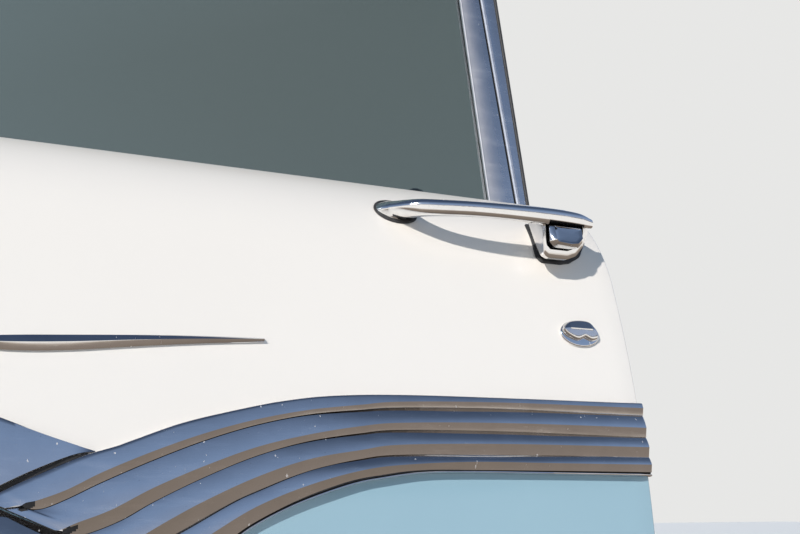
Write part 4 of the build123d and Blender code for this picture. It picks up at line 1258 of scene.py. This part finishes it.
def pad(name, x0, x1, z0, z1, corner, nx, nz, back, height, sharp=38):
    """Padded panel on the door's inside. corner holds the radii of the corners at
    (x0, z0), (x1, z0), (x0, z1), (x1, z1); height(x, z, d) gives Y, d being the
    distance to the panel's edge."""
    def spread(n):
        k = np.linspace(0, 1, n)
        return 0.62 * k + 0.38 * 0.5 * (1 - np.cos(math.pi * k))
    sz = spread(nz)
    Z = z0 + (z1 - z0) * sz

    def cut(z, r_low, r_high):
        dl, dh = z - z0, z1 - z
        r, d = (r_low, dl) if dl < dh else (r_high, dh)
        return r - math.sqrt(max(r * r - (r - d) ** 2, 0.0)) if d < r else 0.0
    su = np.linspace(0, 1, nx)
    edge = np.minimum(su, 1 - su)
    X, ZZ = [], []
    for z in Z:
        a, b = x0 + cut(z, corner[0], corner[2]), x1 - cut(z, corner[1], corner[3])
        X.append(a + (b - a) * su)
        ZZ.append(np.full(nx, z))
    X, ZZ = np.array(X), np.array(ZZ)
    d = np.minimum(np.minimum(X - X[:, :1], X[:, -1:] - X), np.minimum(ZZ - z0, z1 - ZZ))
    Y = height(X, ZZ, d)
    front = np.stack([X, Y, ZZ], -1).reshape(-1, 3)
    faces = grid_faces(nz, nx)
    loop = [j for j in range(nx)] + [i * nx + nx - 1 for i in range(1, nz)]
    loop += [(nz - 1) * nx + j for j in range(nx - 2, -1, -1)] + [i * nx for i in range(nz - 2, 0, -1)]
    b0 = len(front)
    rim = front[loop].copy()
    rim[:, 1] = back
    m = len(loop)
    for k in range(m):
        k2 = (k + 1) % m
        faces.append((loop[k], loop[k2], b0 + k2, b0 + k))
    faces.append(tuple(b0 + k for k in range(m)))
    me = mesh_from(name, M(np.concatenate([front, rim])), faces, sharp=sharp)
    fix_normals(me)
    me.polygons.foreach_set("use_smooth", [True] * len(me.polygons))
    me.set_sharp_from_angle(angle=math.radians(sharp))
    return me


def roll(d, r, p=2.3):
    return 1 - (1 - np.clip(d / r, 0, 1)) ** p


def fold(x, z, k):
    """Small soft unevenness of stuffed cloth."""
    return (0.22 * np.sin(x / 47.0 + k) * np.sin(z / 23.0 + 2 * k) + 0.15 * np.sin(x / 19.0 - z / 31.0 + k))


PITCH = (1140.0 - 36.0) / 30.0


def pleats(x, z, d):
    s_ = np.abs(((x + 1140.0) / PITCH) % 1.0 - 0.5) * 2
    s_ = 1 - s_                                     # 1 in the middle of a pleat, 0 at its seam
    crown = 1 - (1 - s_) ** 2.6
    inner_ = ease(d, 6.0, 17.0)
    y = 168.6 + 3.4 * roll(d, 5.0) + (3.3 * crown - 1.2) * inner_
    y = y - 0.9 * np.exp(-((d - 6.2) / 0.9) ** 2)   # sewn line round the pleated field
    return y + 0.35 * fold(x, z, 0.7) * inner_


def door_card():
    top = pad("card_top", -1139.6, -36.4, 150.0, 225.6, (3.0, 3.0, 26.0, 26.0), 190, 30, 165.35,
              lambda x, z, d: 168.0 + 6.6 * roll(d, 15.0) + fold(x, z, 0.2) * roll(d, 20.0)
              - 0.8 * np.exp(-((z - 163.0) / 1.0) ** 2) * ease(d, 2.0, 8.0))
    mid = pad("card_mid", -1139.6, -36.4, -150.0, 144.0, (3.0, 3.0, 3.0, 3.0), 361, 46, 165.35, pleats)
    low = pad("card_low", -1139.6, -36.4, -344.6, -156.0, (26.0, 26.0, 3.0, 3.0), 190, 44, 165.35,
              lambda x, z, d: 168.0 + 4.6 * roll(d, 9.0) + 0.6 * fold(x, z, 1.4) * roll(d, 16.0)
              - 0.9 * np.exp(-((z + 188.0) / 0.9) ** 2) * ease(d, 2.0, 8.0)
              - 0.9 * np.exp(-((z + 196.0) / 0.9) ** 2) * ease(d, 2.0, 8.0)
              + 1.3 * (np.abs(z + 300.0) < 32.0) * (0.5 + 0.5 * np.cos((z + 300.0) * 2 * math.pi / 8.0)) * ease(d, 14.0, 20.0))
    bead1 = tube("bead1", [(x, 171.6, 147.0) for x in np.linspace(-1138.0, -38.0, 60)], 2.6)
    board = outline_loft("board", [(-1139, -343), (-37, -343), (-37, 225), (-1139, 225)], [26.0] * 4,
                         ((0.0, 165.3), (0.0, 166.8)), "y", 8)
    # the backing board takes the near-black painted-shade material, so the gaps between the pads read as shade
    for me_, k in ((top, 1), (mid, 0), (low, 0), (bead1, 1), (board, 2)):
        set_index(me_, k)
    me_ = join_meshes("door_card", [top, mid, low, bead1, board], 38)
    ob = add("door_card", me_, mats=(VINYL_BLUE, VINYL_WHITE, SHADE_BLACK), replaces=["trim_panel"])
    strips = []
    for z, h in ((-153.0, 2.6), (-262.0, 2.2), (-338.0, 2.2)):
        x0, x1 = (-1137.0, -39.0) if z > -300 else (-1118.0, -58.0)
        strips.append(along_x("st", [(168.0, z - h), (168.0, z + h), (173.4, z + h - 0.4), (174.6, z), (173.4, z - h + 0.4)],
                              [0.4, 0.4, 1.0, 1.6, 1.0],
                              [(x0, lambda q: q * 0.5 + q.mean(0) * 0.5), (x0 + 1.5, None), (x1 - 1.5, None),
                               (x1, lambda q: q * 0.5 + q.mean(0) * 0.5)], 4))
    add("card_strips", join_meshes("card_strips", strips, 30), mats=(CHROME_IN,))
    # upholstery buttons in a row on the white band
    btn = [lathe("b", (x, 173.4, 190.0), (0, 1, 0), [(7.0, 0.0), (7.0, 0.8), (6.2, 1.9), (4.0, 2.6), (0.3, 2.9)], 28)
           for x in np.linspace(-1060.0, -120.0, 9)]
    add("card_buttons", join_meshes("card_buttons", btn, 40), mats=(VINYL_WHITE,))


door_card()


def armrest_pad():
    base = [(176.2, -62.0), (176.2, 8.0), (232.0, 14.0), (243.0, 4.0), (243.0, -12.0), (214.0, -52.0)]
    st = []
    x0, x1, n = -700.0, -370.0, 44
    for k in range(n + 1):
        t = 0.5 * (1 - math.cos(math.pi * k / n))
        x = x0 + (x1 - x0) * t
        e = min(t, 1 - t) * (x1 - x0)
        f = 1 - (1 - min(e / 34.0, 1)) ** 2.6
        sag = 2.6 * math.exp(-((t - 0.42) / 0.20) ** 2)

        def shape(q, f=f, sag=sag, t=t):
            y = 176.2 + (q[:, 0] - 176.2) * (0.62 + 0.38 * f)
            z = -24.0 + (q[:, 1] + 24.0) * (0.60 + 0.40 * f)
            top = ease(q[:, 1], 0.0, 12.0) * ease(q[:, 0], 180.0, 215.0)
            z = z - sag * top + 0.8 * math.sin(9.0 * t) * top * 0.4
            return np.stack([y, z], -1)
        st.append((x, shape))
    me_ = along_x("armrest_pad", base, [2.0, 5.0, 9.0, 9.0, 9.0, 22.0], st, 7, 45)
    for p in me_.polygons:
        c = np.array(p.center) * 1000.0 - S
        p.material_index = 1 if (p.normal[2] > 0.30 and c[2] > -2.0) else 0
    bead = []
    for k in range(40):
        t = 0.5 * (1 - math.cos(math.pi * (k + 0.5) / 40))
        x = x0 + (x1 - x0) * t
        e = min(t, 1 - t) * (x1 - x0)
        f = 1 - (1 - min(e / 34.0, 1)) ** 2.6
        bead.append((x, 176.2 + 66.4 * (0.62 + 0.38 * f), -24.0 + 25.6 * (0.60 + 0.40 * f)))
    b = set_index(tube("bead", bead, 1.9), 1)
    me_ = join_meshes("armrest_pad", [me_, b], 45)
    ob = add("armrest_pad", me_, mats=(VINYL_BLUE, VINYL_WHITE), replaces=["armrest"])


armrest_pad()

GARNISH = [(151.4, 269.2), (151.4, 279.0), (158.0, 284.0), (172.0, 281.0), (181.0, 266.0), (183.0, 242.0), (176.0, 230.0),
           (165.3, 230.0), (165.3, 269.2)]
draw = lambda k: (lambda q: q + (np.array([168.0, 262.0]) - q) * np.array([0.0, 0.0]) + (np.array([170.0, 255.0]) - q) * k)
gm = along_x("garnish", GARNISH, [0.8, 2.4, 6.0, 10.0, 22.0, 14.0, 4.0, 0.8, 0.8],
             [(-1141.9, draw(0.07)), (-1141.2, draw(0.02)), (-1139.5, None)] + [(x, None) for x in np.linspace(-1120, -60, 12)]
             + [(-36.5, None), (-34.9, draw(0.02)), (-34.2, draw(0.07))], 7, 40)
add("garnish_rail", gm, mats=(INSIDE,), replaces=["garnish_moulding"])
screws = [lathe("s", (x, 181.6, 250.0), (0, 1, 0), [(4.6, 0.0), (4.6, 0.9), (3.8, 1.8), (2.0, 2.3), (1.7, 1.3), (0.2, 1.2)], 24)
          for x in (-1100.0, -830.0, -560.0, -290.0, -74.0)]
add("garnish_screws", join_meshes("garnish_screws", screws, 40), mats=(CHROME_IN,))


def escutcheon(x, z, r, t):
    return lathe("esc", (x, 176.3, z), (0, 1, 0),
                 [(r, 0.0), (r, 1.6), (r - 0.8, 2.8), (r - 4.0, 3.8), (r - 6.2, 4.2), (r - 7.0, 5.2), (r - 7.6, t - 1.6),
                  (r - 8.6, t - 0.4), (0.3, t)], 48)


def crank():
    st = []
    for k in range(33):
        t = k / 32
        x = -648.0 + 112.0 * t
        e0, e1 = min((x + 648.0) / 8.5, 1.0), min((-536.0 - x) / 7.0, 1.0)
        f = math.sqrt(max(0.02, 1 - (1 - e0) ** 2)) * math.sqrt(max(0.02, 1 - (1 - e1) ** 2))
        hz = (8.2 - 2.6 * math.sin(math.pi * min(1.0, t * 1.05)) ** 1.0 * (0.45 + 0.55 * t)) * f
        yc = 190.6 + 1.6 * math.sin(math.pi * t) * 0.8
        hy = (3.6 - 0.7 * t) * (0.45 + 0.55 * f)
        st.append((x, lambda q, yc=yc, hy=hy, hz=hz: np.stack([yc + q[:, 0] * hy, 96.0 + q[:, 1] * hz], -1)))
    arm = along_x("arm", [(-1, -1), (1, -0.86), (1, 0.86), (-1, 1)], [0.35, 0.55, 0.55, 0.35], st, 6, 40)
    knob = lathe("knob", (-542.0, 192.6, 96.0), (0, 1, 0),
                 [(4.2, 0.0), (4.2, 2.6), (7.8, 4.0), (10.4, 7.6), (11.0, 12.0), (10.7, 15.0), (9.9, 15.5), (9.9, 16.3), (10.6, 16.8),
                  (10.5, 23.0), (9.6, 28.8), (7.6, 32.0), (4.4, 33.4), (0.3, 33.7)], 40)
    hub = lathe("hub", (-640.0, 187.0, 96.0), (0, 1, 0), [(7.0, 0.0), (7.0, 7.0), (6.0, 8.2), (3.2, 8.8), (3.0, 7.8), (0.3, 7.6)], 30)
    set_index(knob, 1)
    me_ = join_meshes("crank", [escutcheon(-640.0, 96.0, 21.0, 12.0), arm, hub, knob], 36)
    add("crank", me_, mats=(CHROME_IN, VINYL_WHITE), replaces=["window_crank"])


crank()


def release():
    boss = escutcheon(-300.0, 120.0, 19.0, 12.4)
    ca, sa = math.cos(math.radians(4.0)), math.sin(math.radians(4.0))
    rings = []
    o = rounded_poly([(-1, -1), (1, -0.8), (1, 0.8), (-1, 1)], [0.4, 0.7, 0.7, 0.4], 6)
    for k in range(33):
        t = k / 32
        xl = -55.0 + 110.0 * t
        e0, e1 = min(t / 0.10, 1.0), min((1 - t) / 0.10, 1.0)
        f = math.sqrt(max(0.02, 1 - (1 - e0) ** 2)) * math.sqrt(max(0.02, 1 - (1 - e1) ** 2))
        hz = (9.0 - 3.4 * math.exp(-((t - 0.80) / 0.14) ** 2) * (t < 0.93)) * f
        hy = (2.6 + 1.6 * t) * (0.4 + 0.6 * f)
        yc = 195.4 - 2.4 * t + 1.2 * math.cos(2.2 * math.pi * t)
        y = yc + o[:, 0] * hy
        zl = o[:, 1] * hz
        rings.append(np.stack([-348.0 + xl * ca + zl * sa * 0.0, y, 117.0 + zl + xl * sa], -1))
    lever = loft("lever", rings, sharp=40)
    hub = lathe("hub", (-300.0, 187.5, 120.0), (0, 1, 0), [(8.4, 0.0), (8.4, 9.0), (7.2, 10.8), (3.4, 11.6), (0.3, 11.8)], 30)
    add("release_lever", join_meshes("release_lever", [boss, lever, hub], 36), mats=(CHROME_IN,),
        replaces=["inner_release_handle"])


release()

add("lock_button", lathe("lock_button", (-150.0, 166.0, 284.4), (0, 0, 1),
                         [(8.7, 0.0), (9.0, 0.5), (8.7, 1.2), (5.4, 1.5), (4.6, 1.7), (4.7, 2.6), (5.0, 3.0), (4.6, 3.5), (2.8, 3.85), (0.2, 3.95)], 32),
    mats=(CHROME_IN,), replaces=["lock_knob"])


def screw_x(x, y, z, r=4.4, d=1.0):
    return lathe("sx", (x, y, z), (d, 0, 0), [(r, 0.0), (r, 0.25), (r * 0.8, 0.9), (r * 0.36, 1.1), (r * 0.30, 0.3), (0.2, 0.25)], 22)


def latch():
    plate = outline_loft("lp", [(92, 112), (150, 112), (150, 190), (92, 190)], [7.0] * 4,
                         ((0.0, -2.1), (0.0, 1.2), (0.7, 1.9)), "x", 6)
    hood = outline_loft("lh", [(128.4, 128.4), (145.6, 128.4), (145.6, 175.6), (128.4, 175.6)], [5.0] * 4,
                        ((0.0, 1.0), (0.0, 9.8), (0.7, 11.0), (2.2, 11.7)), "x", 6)
    th = np.linspace(0, 2 * math.pi, 96, endpoint=False)
    rad = 10.9 + 2.9 * np.cos(6 * th) - 0.7 * np.cos(12 * th)
    rings = []
    for k, x in ((0.93, 2.6), (1.0, 3.4), (1.0, 10.4), (0.94, 11.4), (0.55, 11.5)):
        rings.append(np.stack([np.full(96, x), 118.0 + k * rad * np.cos(th), 158.0 + k * rad * np.sin(th)], -1))
    star = loft("ls", rings, sharp=40)
    hub = lathe("hb", (1.6, 118.0, 158.0), (1, 0, 0), [(6.2, 0.0), (6.2, 9.4), (5.6, 10.4), (3.2, 11.0), (2.8, 10.2), (0.2, 10.0)], 28)
    shoe = outline_loft("lsh", [(99.0, 121.0), (124.0, 121.0), (124.0, 138.0), (99.0, 138.0)], [4.0] * 4,
                        ((0.0, 1.4), (0.0, 3.6), (0.8, 4.4)), "x", 5)
    scr = [screw_x(1.8, y, z) for y, z in ((98.5, 118.5), (143.5, 118.5), (98.5, 183.5), (143.5, 183.5))]
    me_ = join_meshes("latch_rotor", [plate, hood, shoe] + scr + [set_index(star, 1), set_index(hub, 1)], 34)
    add("latch_rotor", me_, mats=(STEEL, STEEL_DARK), replaces=["door_latch"])


latch()

dv = outline_loft("dv", [(95, 40), (150, 44), (150, 76), (95, 80)], [3.0, 5.0, 5.0, 3.0],
                  ((0.0, -2.1), (0.0, 7.6), (0.5, 8.5), (1.4, 8.9)), "x", 6)
add("dovetail", join_meshes("dovetail", [dv, screw_x(8.8, 108.0, 60.0, 4.8), screw_x(8.8, 136.0, 60.0, 4.8)], 34), mats=(STEEL,),
    replaces=["door_dovetail"])
for which, z in (("upper", 210.0), ("lower", -300.0)):
    add("bumper_" + which, lathe("bumper_" + which, (-2.1, 130.0, z), (1, 0, 0),
                                 [(10.0, 0.0), (10.0, 1.8), (9.3, 2.5), (8.2, 2.9), (7.6, 4.6), (6.0, 6.6), (3.6, 7.7), (0.3, 8.0)], 36),
        mats=(RUBBER,), replaces=["door_bumper_" + which])


def weatherstrip():
    def arc(cx, cz, r, a0, a1):
        return [(cx + r * math.cos(a), cz + r * math.sin(a)) for a in np.linspace(a0, a1, 9)]
    r = 9.0
    path = [(-18.0, z) for z in np.linspace(249.8, -340.0, 40)]
    path += arc(-18.0 - r, -362.0 + r, r, 0.0, -math.pi / 2)
    path += [(x, -362.0) for x in np.linspace(-40.0, -1140.0, 60)]
    path += arc(-1162.0 + r, -362.0 + r, r, -math.pi / 2, -math.pi)
    path += [(-1162.0, z) for z in np.linspace(-340.0, 249.8, 40)]
    path = np.array(path)
    t = np.gradient(path, axis=0)
    t /= np.linalg.norm(t, axis=1)[:, None]
    nrm = np.stack([-t[:, 1], t[:, 0]], -1)
    sec = [(-5.9, 165.3), (-5.9, 166.6), (-4.6, 167.2), (-4.9, 168.6)]
    for k in range(13):
        a = math.pi * k / 12
        sec.append((-4.9 * math.cos(a), 169.6 + 4.4 * math.sin(a)))
    sec += [(4.9, 168.6), (4.6, 167.2), (5.9, 166.6), (5.9, 165.3)]
    rings = []
    for c, q in zip(path, nrm):
        rings.append([(c[0] + q[0] * a, y, c[1] + q[1] * a) for a, y in sec])
    add("weatherstrip_bulb", loft("weatherstrip_bulb", rings, sharp=45), mats=(RUBBER,), replaces=["door_weatherstrip"])


weatherstrip()


def bolt(c, axis, r=6.4):
    c, a = np.array(c, float), np.array(axis, float)
    wash = lathe("w", c, a, [(r + 2.2, 0.0), (r + 2.2, 1.0), (r + 1.8, 1.4), (0.4, 1.4)], 30)
    e1 = np.cross(a, (0, 0, 1.0))
    e2 = np.cross(a, e1)
    th = np.linspace(0, 2 * math.pi, 7)[:-1][:, None] + 0.2
    rings = [c + a * d + r * k * (np.cos(th) * e1 + np.sin(th) * e2) for k, d in ((1.0, 1.3), (1.0, 4.2), (0.88, 5.0), (0.4, 5.1))]
    return join_meshes("bo", [wash, loft("hx", rings, sharp=25)], 25)


for which, hz in (("upper", 120.0), ("lower", -250.0)):
    pb = [bolt((-1209.0, 95.0 + sy * 20.0, hz + sz * 30.0), (1, 0, 0)) for sy in (-1, 1) for sz in (-1, 1)]
    add("pillar_bolts_" + which, join_meshes("pb", pb, 25), body="pillar_hinges", mats=(STEEL,))
    db = [bolt((-1186.2, y, hz + dz), (-1, 0, 0), 5.6) for y, dz in ((75.0, -26.0), (75.0, 26.0), (105.0, -26.0), (105.0, 26.0))]
    add("door_bolts_" + which, join_meshes("db", db, 25), mats=(STEEL,))

# closing pieces under the belt edge at both ends
def end_cap(x0, x1):
    prof = profile()
    rows = [q for q in prof if q[1] > 227.0 or q[2] > 0]
    pts = [(q[0] - 2.6 * q[2], q[1] - 2.6 * q[3]) for q in rows]
    y_f, z_f = rows[-1][0] - 2.6 * rows[-1][2], rows[-1][1] - 2.6 * rows[-1][3]
    pts += [(130.9, z_f - 1.5), (130.9, 226.6)]
    pts = np.array(pts)
    rings = [np.stack([np.full(len(pts), float(x)), pts[:, 0], pts[:, 1]], -1) for x in (x0, x1)]
    return loft("end_cap", rings, sharp=40)


add("belt_end_caps", join_meshes("belt_end_caps", [end_cap(-10.0, -3.2), end_cap(-1176.8, -1170.0)], 40), mats=(SHUT,))

# rubber plugs in the shell's shut faces
plugs = [lathe("pl", (-2.3, y, z), (1, 0, 0), [(r_, -0.5), (r_, 0.6), (r_ - 1.2, 1.3), (r_ - 3.0, 1.0), (0.3, 0.7)], 30)
         for y, z, r_ in ((116.0, -60.0, 9.0), (116.0, -190.0, 9.0), (92.0, 20.0, 6.0))]
plugs += [lathe("pl", (-1177.7, y, z), (-1, 0, 0), [(r_, -0.5), (r_, 0.6), (r_ - 1.2, 1.3), (r_ - 3.0, 1.0), (0.3, 0.7)], 30)
          for y, z, r_ in ((120.0, -60.0, 11.0), (96.0, 10.0, 9.0), (126.0, 200.0, 8.0), (110.0, -330.0, 8.0))]
add("shell_plugs", join_meshes("shell_plugs", plugs, 30), mats=(RUBBER,))


def finish_node(name, mat):
    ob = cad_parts[name]
    if len(ob.material_slots) == 0:
        ob.data.materials.append(mat)
    for s_ in ob.material_slots:
        s_.material = mat


finish_node("inner_shell", SHUT)
finish_node("vent_sill", INSIDE)
for which in ("upper", "lower"):
    finish_node("pillar_hinge_leaf_" + which, STEEL_DARK)
    finish_node("door_hinge_leaf_" + which, STEEL_DARK)
    finish_node("hinge_pin_" + which, STEEL)

# ------------------------------------------------------------ camera, light, stage
C_OLD = np.array([-646.8, -825.8, -18.0])
FWD, RIGHT, UP = (Vector((0.42957, 0.88075, 0.19937)), Vector((0.89879, -0.43837, 0.0)),
                  Vector((-0.08740, -0.17919, 0.97992)))
cam_data = bpy.data.cameras.new("camera")
cam = bpy.data.objects.new("camera", cam_data)
bpy.context.scene.collection.objects.link(cam)
cam_data.sensor_width = 36.0
cam_data.lens = 1150.0 / 800.0 * 36.0
cam_data.clip_start, cam_data.clip_end = 0.02, 60.0
rot = Matrix((RIGHT, UP, -FWD)).transposed()
cam.matrix_world = Matrix.Translation(Vector(M(C_OLD))) @ rot.to_4x4()
bpy.context.scene.camera = cam

FLOOR_Z = (-720.0 - 120.0) / 1000.0


def stage_plane(name, size, loc, mat):
    me = bpy.data.meshes.new(name)
    h = size / 2
    me.from_pydata([(-h, -h, 0), (h, -h, 0), (h, h, 0), (-h, h, 0)], [], [(0, 1, 2, 3)])
    me.materials.append(mat)
    ob = bpy.data.objects.new(name, me)
    ob.location = loc
    bpy.context.scene.collection.objects.link(ob)
    return ob


fm, fnt, fb = new_mat("pale_floor")
fb.inputs["Base Color"].default_value = (0.78, 0.77, 0.75, 1)
fb.inputs["Roughness"].default_value = 0.8
fb.inputs["Specular IOR Level"].default_value = 0.2
floor = stage_plane("floor", 60.0, (0.6, 0.0, FLOOR_Z), fm)
floor.visible_glossy = False

world = bpy.data.worlds.new("studio")
bpy.context.scene.world = world
world.use_nodes = True
wt = world.node_tree
wt.nodes.clear()
wo = wt.nodes.new("ShaderNodeOutputWorld")
tc = wt.nodes.new("ShaderNodeTexCoord")
sep = wt.nodes.new("ShaderNodeSeparateXYZ")
wt.links.new(tc.outputs["Generated"], sep.inputs[0])
up01 = maprange(wt, sep.outputs["Z"], -1.0, 1.0, 0.0, 1.0)
GLOSS_BY_HEIGHT = [   # share of the way from straight down to straight up, and colour
    (0.0, (92, 82, 74)), (0.067, (112, 101, 92)), (0.289, (126, 114, 103)), (0.430, (132, 120, 111)),
    (0.474, (152, 140, 128)), (0.500, (208, 198, 188)), (0.524, (236, 232, 227)), (0.612, (236, 232, 227)),
    (0.619, (98, 98, 100)), (0.632, (98, 98, 100)), (0.640, (160, 168, 186)), (0.670, (134, 148, 174)),
    (0.735, (118, 139, 171)), (0.808, (97, 114, 142)), (0.872, (74, 88, 111)), (0.93, (60, 73, 95)),
    (1.0, (56, 68, 92))]
SKY = [(q, tuple(c / 0.82 for c in srgb(*rgb)[:3])) for q, rgb in GLOSS_BY_HEIGHT]
sky = ramp(wt, up01, SKY)
bg_gloss = wt.nodes.new("ShaderNodeBackground")
wt.links.new(sky, bg_gloss.inputs["Color"])
bg_gloss.inputs["Strength"].default_value = 1.0
fill = ramp(wt, up01, [(0.0, (0.58, 0.72, 0.86)), (0.5, (0.60, 0.84, 1.14)), (1.0, (0.52, 0.86, 1.38))])
bg_fill = wt.nodes.new("ShaderNodeBackground")
wt.links.new(fill, bg_fill.inputs["Color"])
bg_fill.inputs["Strength"].default_value = 0.27
bg_cam = wt.nodes.new("ShaderNodeBackground")
bg_cam.inputs["Color"].default_value = (0.80, 0.80, 0.79, 1)
bg_cam.inputs["Strength"].default_value = 1.0
bg_glass = wt.nodes.new("ShaderNodeBackground")
across = maprange(wt, sep.outputs["X"], -0.2, 0.6, 0.0, 1.0)
wt.links.new(ramp(wt, across, [(0.0, (1.02, 1.10, 1.16)), (0.41, (0.97, 1.02, 1.06)), (0.64, (0.80, 0.81, 0.80)),
                               (0.81, (0.62, 0.65, 0.62)), (1.0, (0.60, 0.62, 0.60))]), bg_glass.inputs["Color"])
bg_glass.inputs["Strength"].default_value = 1.0
lp = wt.nodes.new("ShaderNodeLightPath")
m1 = wt.nodes.new("ShaderNodeMixShader")
m2 = wt.nodes.new("ShaderNodeMixShader")
m3 = wt.nodes.new("ShaderNodeMixShader")
wt.links.new(lp.outputs["Is Glossy Ray"], m1.inputs[0])
wt.links.new(bg_fill.outputs[0], m1.inputs[1])
wt.links.new(bg_gloss.outputs[0], m1.inputs[2])
wt.links.new(lp.outputs["Is Transmission Ray"], m2.inputs[0])
wt.links.new(m1.outputs[0], m2.inputs[1])
wt.links.new(bg_glass.outputs[0], m2.inputs[2])
wt.links.new(lp.outputs["Is Camera Ray"], m3.inputs[0])
wt.links.new(m2.outputs[0], m3.inputs[1])
wt.links.new(bg_cam.outputs[0], m3.inputs[2])
wt.links.new(m3.outputs[0], wo.inputs["Surface"])

key = bpy.data.lights.new("key", "SUN")
key.energy = 3.55
key.angle = math.radians(1.6)
key.color = (1.0, 0.97, 0.93)
key_ob = bpy.data.objects.new("key", key)
key_dir = Vector((0.696, 0.526, -0.489)).normalized()
key_ob.rotation_mode = "QUATERNION"
key_ob.rotation_quaternion = key_dir.to_track_quat("-Z", "Y")
bpy.context.scene.collection.objects.link(key_ob)

# soft light on the inside of the door
inner = bpy.data.lights.new("inner_fill", "SUN")
inner.energy = 2.3
inner.angle = math.radians(50)
inner_ob = bpy.data.objects.new("inner_fill", inner)
inner_ob.rotation_mode = "QUATERNION"
inner_ob.rotation_quaternion = Vector((-0.30, -0.93, -0.20)).normalized().to_track_quat("-Z", "Y")
inner_ob.visible_transmission = False
inner_ob.visible_glossy = False
bpy.context.scene.collection.objects.link(inner_ob)

bpy.context.scene.view_settings.view_transform = "Standard"
bpy.context.scene.view_settings.look = "None"
